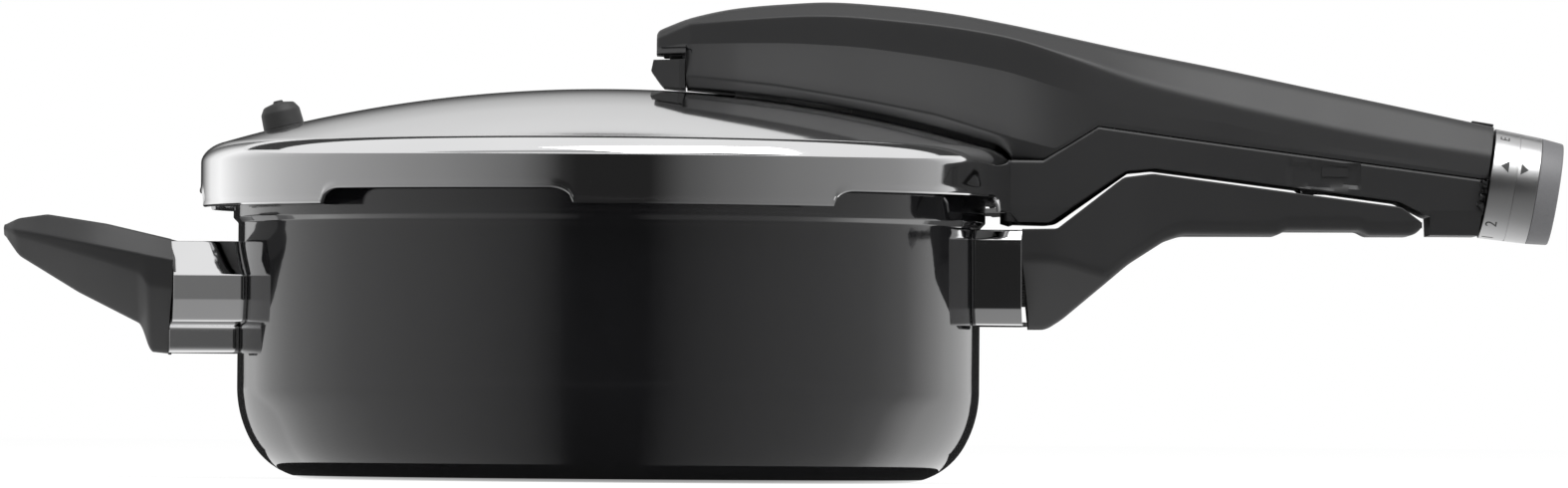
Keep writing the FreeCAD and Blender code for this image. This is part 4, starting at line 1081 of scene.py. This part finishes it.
# Levels of the studio's walls by azimuth: 0 is the camera's side, negative to the left.
WALL_LEVELS = [(-180, 0.05), (-166, 0.05), (-160, 0.3), (-150, 1.0), (-140, 1.2), (-126, 0.88),
               (-115, 0.68), (-100, 0.53),
               (-84, 0.41), (-66, 0.34), (-48, 0.28), (-34, 0.22), (-24, 0.17), (-17, 0.1), (-12, 0.035),
               (-8, 0.02),
               (12, 0.02), (16, 0.05), (22, 0.1), (32, 0.15), (50, 0.21), (70, 0.26), (88, 0.32),
               (104, 0.45), (116, 0.8),
               (128, 1.1), (150, 1.2), (162, 0.3), (166, 0.05), (180, 0.05)]
BACK_LEVELS = [(0, 0.03), (0.2, 0.05), (0.28, 0.12), (0.45, 0.5), (0.62, 0.72), (1.0, 0.86)]


def by_azimuth(levels, near=0.0):
    """Strength that follows the azimuth through the levels.

    A curved mirror of radius near, standing on the table, sees the table close by at less than its
    own reflections' azimuth, so there the azimuth counts for 1 + (near / distance)^1.5.
    """
    def strength(made):
        x, y, z = made.split(made.position())
        azimuth = made.node("ShaderNodeMath", {"operation": "ARCTAN2"}, {0: x, 1: y * -1.0})
        if near:
            distance = (x * x + y * y).root()
            azimuth = azimuth * (1 + (near / distance) ** 1.5)
            azimuth = azimuth.math("MINIMUM", azimuth.math("MAXIMUM", azimuth, -2.55), 2.55)
        share = (azimuth / (2 * math.pi) + 0.5).clamp()
        halves = []
        for low, high in ((-180, 0), (0, 180)):
            stops = [((at - low) / (high - low), level / 1.2) for at, level in levels if low <= at <= high]
            if stops[0][0] > 0:
                stops.insert(0, (0.0, stops[0][1]))
            within = (share * 2.0 - (0.0 if low < 0 else 1.0)).clamp()
            halves.append(made.node("ShaderNodeValToRGB", {"stops": stops}, {0: within}))
        right = made.node("ShaderNodeMath", {"operation": "GREATER_THAN"}, {0: share, 1: 0.5})
        return (halves[0] * (1 - right) + halves[1] * right) * 1.2
    return strength


def fading_right(made):
    """Strength of the card over the camera: grey to the left, dark over the handle."""
    x, y, z = made.split(made.position())
    return 0.5 - ((x + 0.3) / 0.9).clamp() * 0.46


def by_height(levels, top):
    """Strength that follows the height through the levels, whose last one is at the top."""
    def strength(made):
        x, y, z = made.split(made.position())
        return made.node("ShaderNodeValToRGB", {"stops": levels}, {0: z / top})
    return strength


def ring_card(radii, heights):
    """A ring round the pan whose edge moves from the first radius and height to the second."""
    azimuth = np.radians(np.linspace(0, 360, 240, endpoint=False))
    t = np.linspace(0, 1, 12)[:, None]
    radius = radii[0] + (radii[1] - radii[0]) * t
    height = heights[0] + (heights[1] - heights[0]) * t
    return np.stack([radius * np.sin(azimuth), -radius * np.cos(azimuth), height + 0 * azimuth], -1)


def make_screens(studio):
    """What the polished parts mirror: walls, table, the pan's own shade, a dark back and cards above."""
    walls = ring_card((WALL_REACH, WALL_REACH), (2, studio.wall_height * 1000))
    staged(Surface().grid(walls, wrap_columns=True), "wall_screen",
           emission("wall_glow", by_azimuth(WALL_LEVELS)))
    table = ring_card((studio.table_start * 1000, WALL_REACH - 10), (1, 1))
    staged(Surface().grid(table, wrap_columns=True), "table_screen",
           emission("table_glow", by_azimuth(WALL_LEVELS, WALL * MM)))
    under = ring_card((1, studio.table_start * 1000), (1, 1))
    staged(Surface().grid(under, wrap_columns=True), "shade_screen",
           emission("shade_glow", lambda made: 0.02))
    staged(behind_the_pan(), "behind_screen", emission("behind_glow", lambda made: 0.03))
    azimuth = np.radians(np.linspace(180 - BACK_HALF, 180 + BACK_HALF, 24))
    height = np.linspace(2, 2400, 24)[:, None]
    across = BACK_REACH * np.sin(azimuth)
    along = -BACK_REACH * np.cos(azimuth)
    back = np.stack([across + 0 * height, along + 0 * height, height + 0 * azimuth], -1)
    staged(Surface().grid(back), "back_screen", emission("back_glow", by_height(BACK_LEVELS, 2.4)))
    overhead = card((-3000, 3000), (2150, 3850), CARD_HEIGHT)
    staged(Surface().grid(overhead), "overhead_screen", emission("overhead_glow", lambda made: 0.06))
    front = card((-3000, 3000), (-3300, -1850), CARD_HEIGHT)
    staged(Surface().grid(front), "front_screen", emission("front_glow", fading_right))


def behind_the_pan():
    """A low dark upstand behind the pan and the strip of table before it.

    Both reach from the pan's two sides outwards and back at 26 degrees.
    """
    spread = math.tan(math.radians(26))
    back = np.array([0.0, 100.0, 200.0, 300.0])[:, None]
    side = np.array([-1.0, 1.0])[None]
    strip = np.stack([side * (WALL + back * spread), back + 0 * side, 2.0 + 0 * back + 0 * side], -1)
    height = np.array([2.0, 30.0, 60.0, 90.0])[:, None]
    end = side * (WALL + 300 * spread)
    upstand = np.stack([end + 0 * height, 300 + 0 * height + 0 * side, height + 0 * side], -1)
    return Surface().grid(strip).grid(upstand)


def card(across, along, height):
    """A level card between two X values and two Y values."""
    x, y = np.meshgrid(np.array(across, float), np.array(along, float), indexing="ij")
    return np.stack([x, y, 0 * x + height], -1)


def area_light(name, place_at, target, size, power, in_mirrors=False):
    data = bpy.data.lights.new(name, "AREA")
    data.shape = "RECTANGLE"
    data.size = size[0]
    data.size_y = size[1]
    data.energy = power
    lamp = bpy.data.objects.new(name, data)
    bpy.context.scene.collection.objects.link(lamp)
    lamp.location = place_at
    lamp.visible_glossy = in_mirrors
    lamp.rotation_euler = (Vector(target) - Vector(place_at)).to_track_quat("-Z", "Y").to_euler()
    return lamp


def make_lights(studio):
    target = (0.04, 0.0, 0.08)
    area_light("softbox_left", (-1.7, -0.5, 0.7), target, (1.2, 1.2), studio.side_power)
    area_light("softbox_right", (1.8, -0.3, 0.7), target, (1.2, 1.2), studio.side_power)
    area_light("softbox_top", (0.6, -0.9, 1.9), target, (1.8, 1.6), studio.top_power, True)


def make_camera(studio):
    data = bpy.data.cameras.new("Camera")
    camera = bpy.data.objects.new("Camera", data)
    bpy.context.scene.collection.objects.link(camera)
    bpy.context.scene.camera = camera
    aim = Vector((studio.aim_x, 0.0, studio.aim_z))
    camera.location = Vector((studio.aim_x, -studio.distance, studio.eye_height))
    look = (aim - camera.location).to_track_quat("-Z", "Y")
    roll = Matrix.Rotation(studio.roll, 4, "Z")
    camera.rotation_euler = (look.to_matrix().to_4x4() @ roll).to_euler()
    data.sensor_width = 36.0
    data.lens = data.sensor_width * studio.distance / studio.view_width
    data.clip_end = 50.0


# ---------------------------------------------------------------- add-on


class CookerColours(bpy.types.PropertyGroup):
    """Colours of the finishes."""

    enamel: bpy.props.FloatVectorProperty(name="Enamel", description="Colour of the pan's enamel",
                                          subtype="COLOR",
                                          default=(0.004, 0.004, 0.0045), min=0, max=1)
    steel: bpy.props.FloatVectorProperty(name="Steel", description="Colour of the polished steel",
                                         subtype="COLOR",
                                         default=(0.76, 0.76, 0.765), min=0, max=1)
    handle: bpy.props.FloatVectorProperty(name="Handles", description="Colour of the black handles",
                                          subtype="COLOR",
                                          default=(0.013, 0.013, 0.0135), min=0, max=1)
    cap: bpy.props.FloatVectorProperty(name="Grey cap", description="Colour of the dial's end cap",
                                       subtype="COLOR",
                                       default=(0.12, 0.12, 0.125), min=0, max=1)
    marks: bpy.props.FloatVectorProperty(name="Marks", description="Colour of the signs on the dial",
                                         subtype="COLOR",
                                         default=(0.02, 0.02, 0.02), min=0, max=1)


class CookerSizes(bpy.types.PropertyGroup):
    """Sizes of the detail that the frame doesn't hold, in millimetres."""

    pan_wall: bpy.props.FloatProperty(name="Pan wall", description="Thickness of the pan's wall in mm",
                                      default=2.5)
    lid_wall: bpy.props.FloatProperty(name="Lid wall", description="Thickness of the lid's sheet in mm",
                                      default=1.2)
    groove: bpy.props.FloatProperty(name="Dial groove", description="From the dial's inner face in mm",
                                    default=7.8)
    edge: bpy.props.FloatProperty(name="Edge round", description="Round on small parts' edges in mm",
                                  default=0.4)


class CookerStudio(bpy.types.PropertyGroup):
    """Camera, lights and cards."""

    distance: bpy.props.FloatProperty(name="Distance", description="Camera from the pan", default=3.2,
                                      unit="LENGTH")
    eye_height: bpy.props.FloatProperty(name="Eye height", description="Camera over the table", default=0.018,
                                        unit="LENGTH")
    aim_x: bpy.props.FloatProperty(name="Aim along", description="Aim along the handle", default=0.0532,
                                   unit="LENGTH")
    aim_z: bpy.props.FloatProperty(name="Aim height", description="Aim over the table", default=0.0726,
                                   unit="LENGTH")
    view_width: bpy.props.FloatProperty(name="View width", description="Width seen at the pan",
                                        default=0.4779,
                                        unit="LENGTH")
    roll: bpy.props.FloatProperty(name="Roll", description="Camera's roll", default=math.radians(0.458),
                                  subtype="ANGLE")
    side_power: bpy.props.FloatProperty(name="Side power", description="Power of each side light",
                                        default=14.0,
                                        unit="POWER")
    top_power: bpy.props.FloatProperty(name="Top power", description="Power of the top light", default=38.0,
                                       unit="POWER")
    wall_height: bpy.props.FloatProperty(name="Wall height", description="Height of the reflected walls",
                                         default=1.9,
                                         unit="LENGTH")
    table_start: bpy.props.FloatProperty(name="Table edge", description="Where the pan's own shade ends",
                                         default=0.103, unit="LENGTH")


def settings():
    return bpy.context.scene.cooker_colours, bpy.context.scene.cooker_sizes, bpy.context.scene.cooker_studio


class COOKER_OT_finishes(bpy.types.Operator):
    """Make the finishes and give them to the pieces that the frame already shapes"""

    bl_idname = "cooker.finishes"
    bl_label = "Finishes"
    bl_options = {"REGISTER", "UNDO"}

    def execute(self, context):
        colours = context.scene.cooker_colours
        make_finishes(colours)
        for node, piece in frame["nodes"].items():
            piece.data.materials.clear()
            piece.data.materials.append(FINISHES[SLOT_OF[node]])
        return {"FINISHED"}


class COOKER_OT_pan(bpy.types.Operator):
    """Make the enamelled pan and its lugs"""

    bl_idname = "cooker.pan"
    bl_label = "Pan"
    bl_options = {"REGISTER", "UNDO"}

    def execute(self, context):
        sizes = context.scene.cooker_sizes
        make_pan(sizes)
        return {"FINISHED"}


class COOKER_OT_lid(bpy.types.Operator):
    """Make the lid and the safety valve's rubber cap"""

    bl_idname = "cooker.lid"
    bl_label = "Lid"
    bl_options = {"REGISTER", "UNDO"}

    def execute(self, context):
        sizes = context.scene.cooker_sizes
        make_lid(sizes)
        make_safety_cap()
        return {"FINISHED"}


class COOKER_OT_sleeves(bpy.types.Operator):
    """Make the steel sleeves between the pan and its handles"""

    bl_idname = "cooker.sleeves"
    bl_label = "Sleeves"
    bl_options = {"REGISTER", "UNDO"}

    def execute(self, context):
        make_sleeves()
        return {"FINISHED"}


class COOKER_OT_pan_handles(bpy.types.Operator):
    """Make the long and the short handle of the pan"""

    bl_idname = "cooker.pan_handles"
    bl_label = "Pan handles"
    bl_options = {"REGISTER", "UNDO"}

    def execute(self, context):
        make_pan_handle()
        make_helper_handle()
        return {"FINISHED"}


class COOKER_OT_lid_handle(bpy.types.Operator):
    """Make both shells of the lid handle"""

    bl_idname = "cooker.lid_handle"
    bl_label = "Lid handle"
    bl_options = {"REGISTER", "UNDO"}

    def execute(self, context):
        make_hood()
        make_keel_shell()
        return {"FINISHED"}


class COOKER_OT_dial(bpy.types.Operator):
    """Make the dial's ring, end cap and signs"""

    bl_idname = "cooker.dial"
    bl_label = "Dial"
    bl_options = {"REGISTER", "UNDO"}

    def execute(self, context):
        sizes = context.scene.cooker_sizes
        make_dial_ring(sizes)
        make_dial_cap()
        make_dial_marks(sizes)
        return {"FINISHED"}


class COOKER_OT_small_parts(bpy.types.Operator):
    """Round the edges of the latch and the index mark, and make the latch's riser"""

    bl_idname = "cooker.small_parts"
    bl_label = "Small parts"
    bl_options = {"REGISTER", "UNDO"}

    def execute(self, context):
        sizes = context.scene.cooker_sizes
        softened("release_latch", sizes.edge * 1.5, FINISHES["handle_black"])
        make_latch_riser()
        softened("index_marker", sizes.edge * 0.5, FINISHES["handle_black"])
        return {"FINISHED"}


class COOKER_OT_studio(bpy.types.Operator):
    """Set up the floor, screens, lights and camera"""

    bl_idname = "cooker.studio"
    bl_label = "Studio"
    bl_options = {"REGISTER", "UNDO"}

    def execute(self, context):
        studio = context.scene.cooker_studio
        make_world()
        make_floor()
        make_screens(studio)
        make_lights(studio)
        make_camera(studio)
        bpy.context.scene.view_settings.view_transform = "Standard"
        return {"FINISHED"}


STEPS = (COOKER_OT_finishes, COOKER_OT_pan, COOKER_OT_lid, COOKER_OT_sleeves, COOKER_OT_pan_handles,
         COOKER_OT_lid_handle,
         COOKER_OT_dial, COOKER_OT_small_parts, COOKER_OT_studio)


class COOKER_PT_panel(bpy.types.Panel):
    """Sidebar list of the cooker's pieces and settings"""

    bl_label = "Pressure Cooker"
    bl_space_type = "VIEW_3D"
    bl_region_type = "UI"
    bl_category = "Cooker"

    def draw(self, context):
        for step in STEPS:
            self.layout.operator(step.bl_idname)
        for group in settings():
            for word in group.__annotations__:
                self.layout.prop(group, word)


GROUPS = {"cooker_colours": CookerColours, "cooker_sizes": CookerSizes, "cooker_studio": CookerStudio}


def register():
    for word, group in GROUPS.items():
        bpy.utils.register_class(group)
        setattr(bpy.types.Scene, word, bpy.props.PointerProperty(type=group))
    for step in STEPS:
        bpy.utils.register_class(step)
    bpy.utils.register_class(COOKER_PT_panel)


def unregister():
    bpy.utils.unregister_class(COOKER_PT_panel)
    for step in reversed(STEPS):
        bpy.utils.unregister_class(step)
    for word, group in GROUPS.items():
        delattr(bpy.types.Scene, word)
        bpy.utils.unregister_class(group)


def main():
    register()
    for step in STEPS:
        family, word = step.bl_idname.split(".")
        getattr(getattr(bpy.ops, family), word)()


if __name__ == "__main__":
    main()
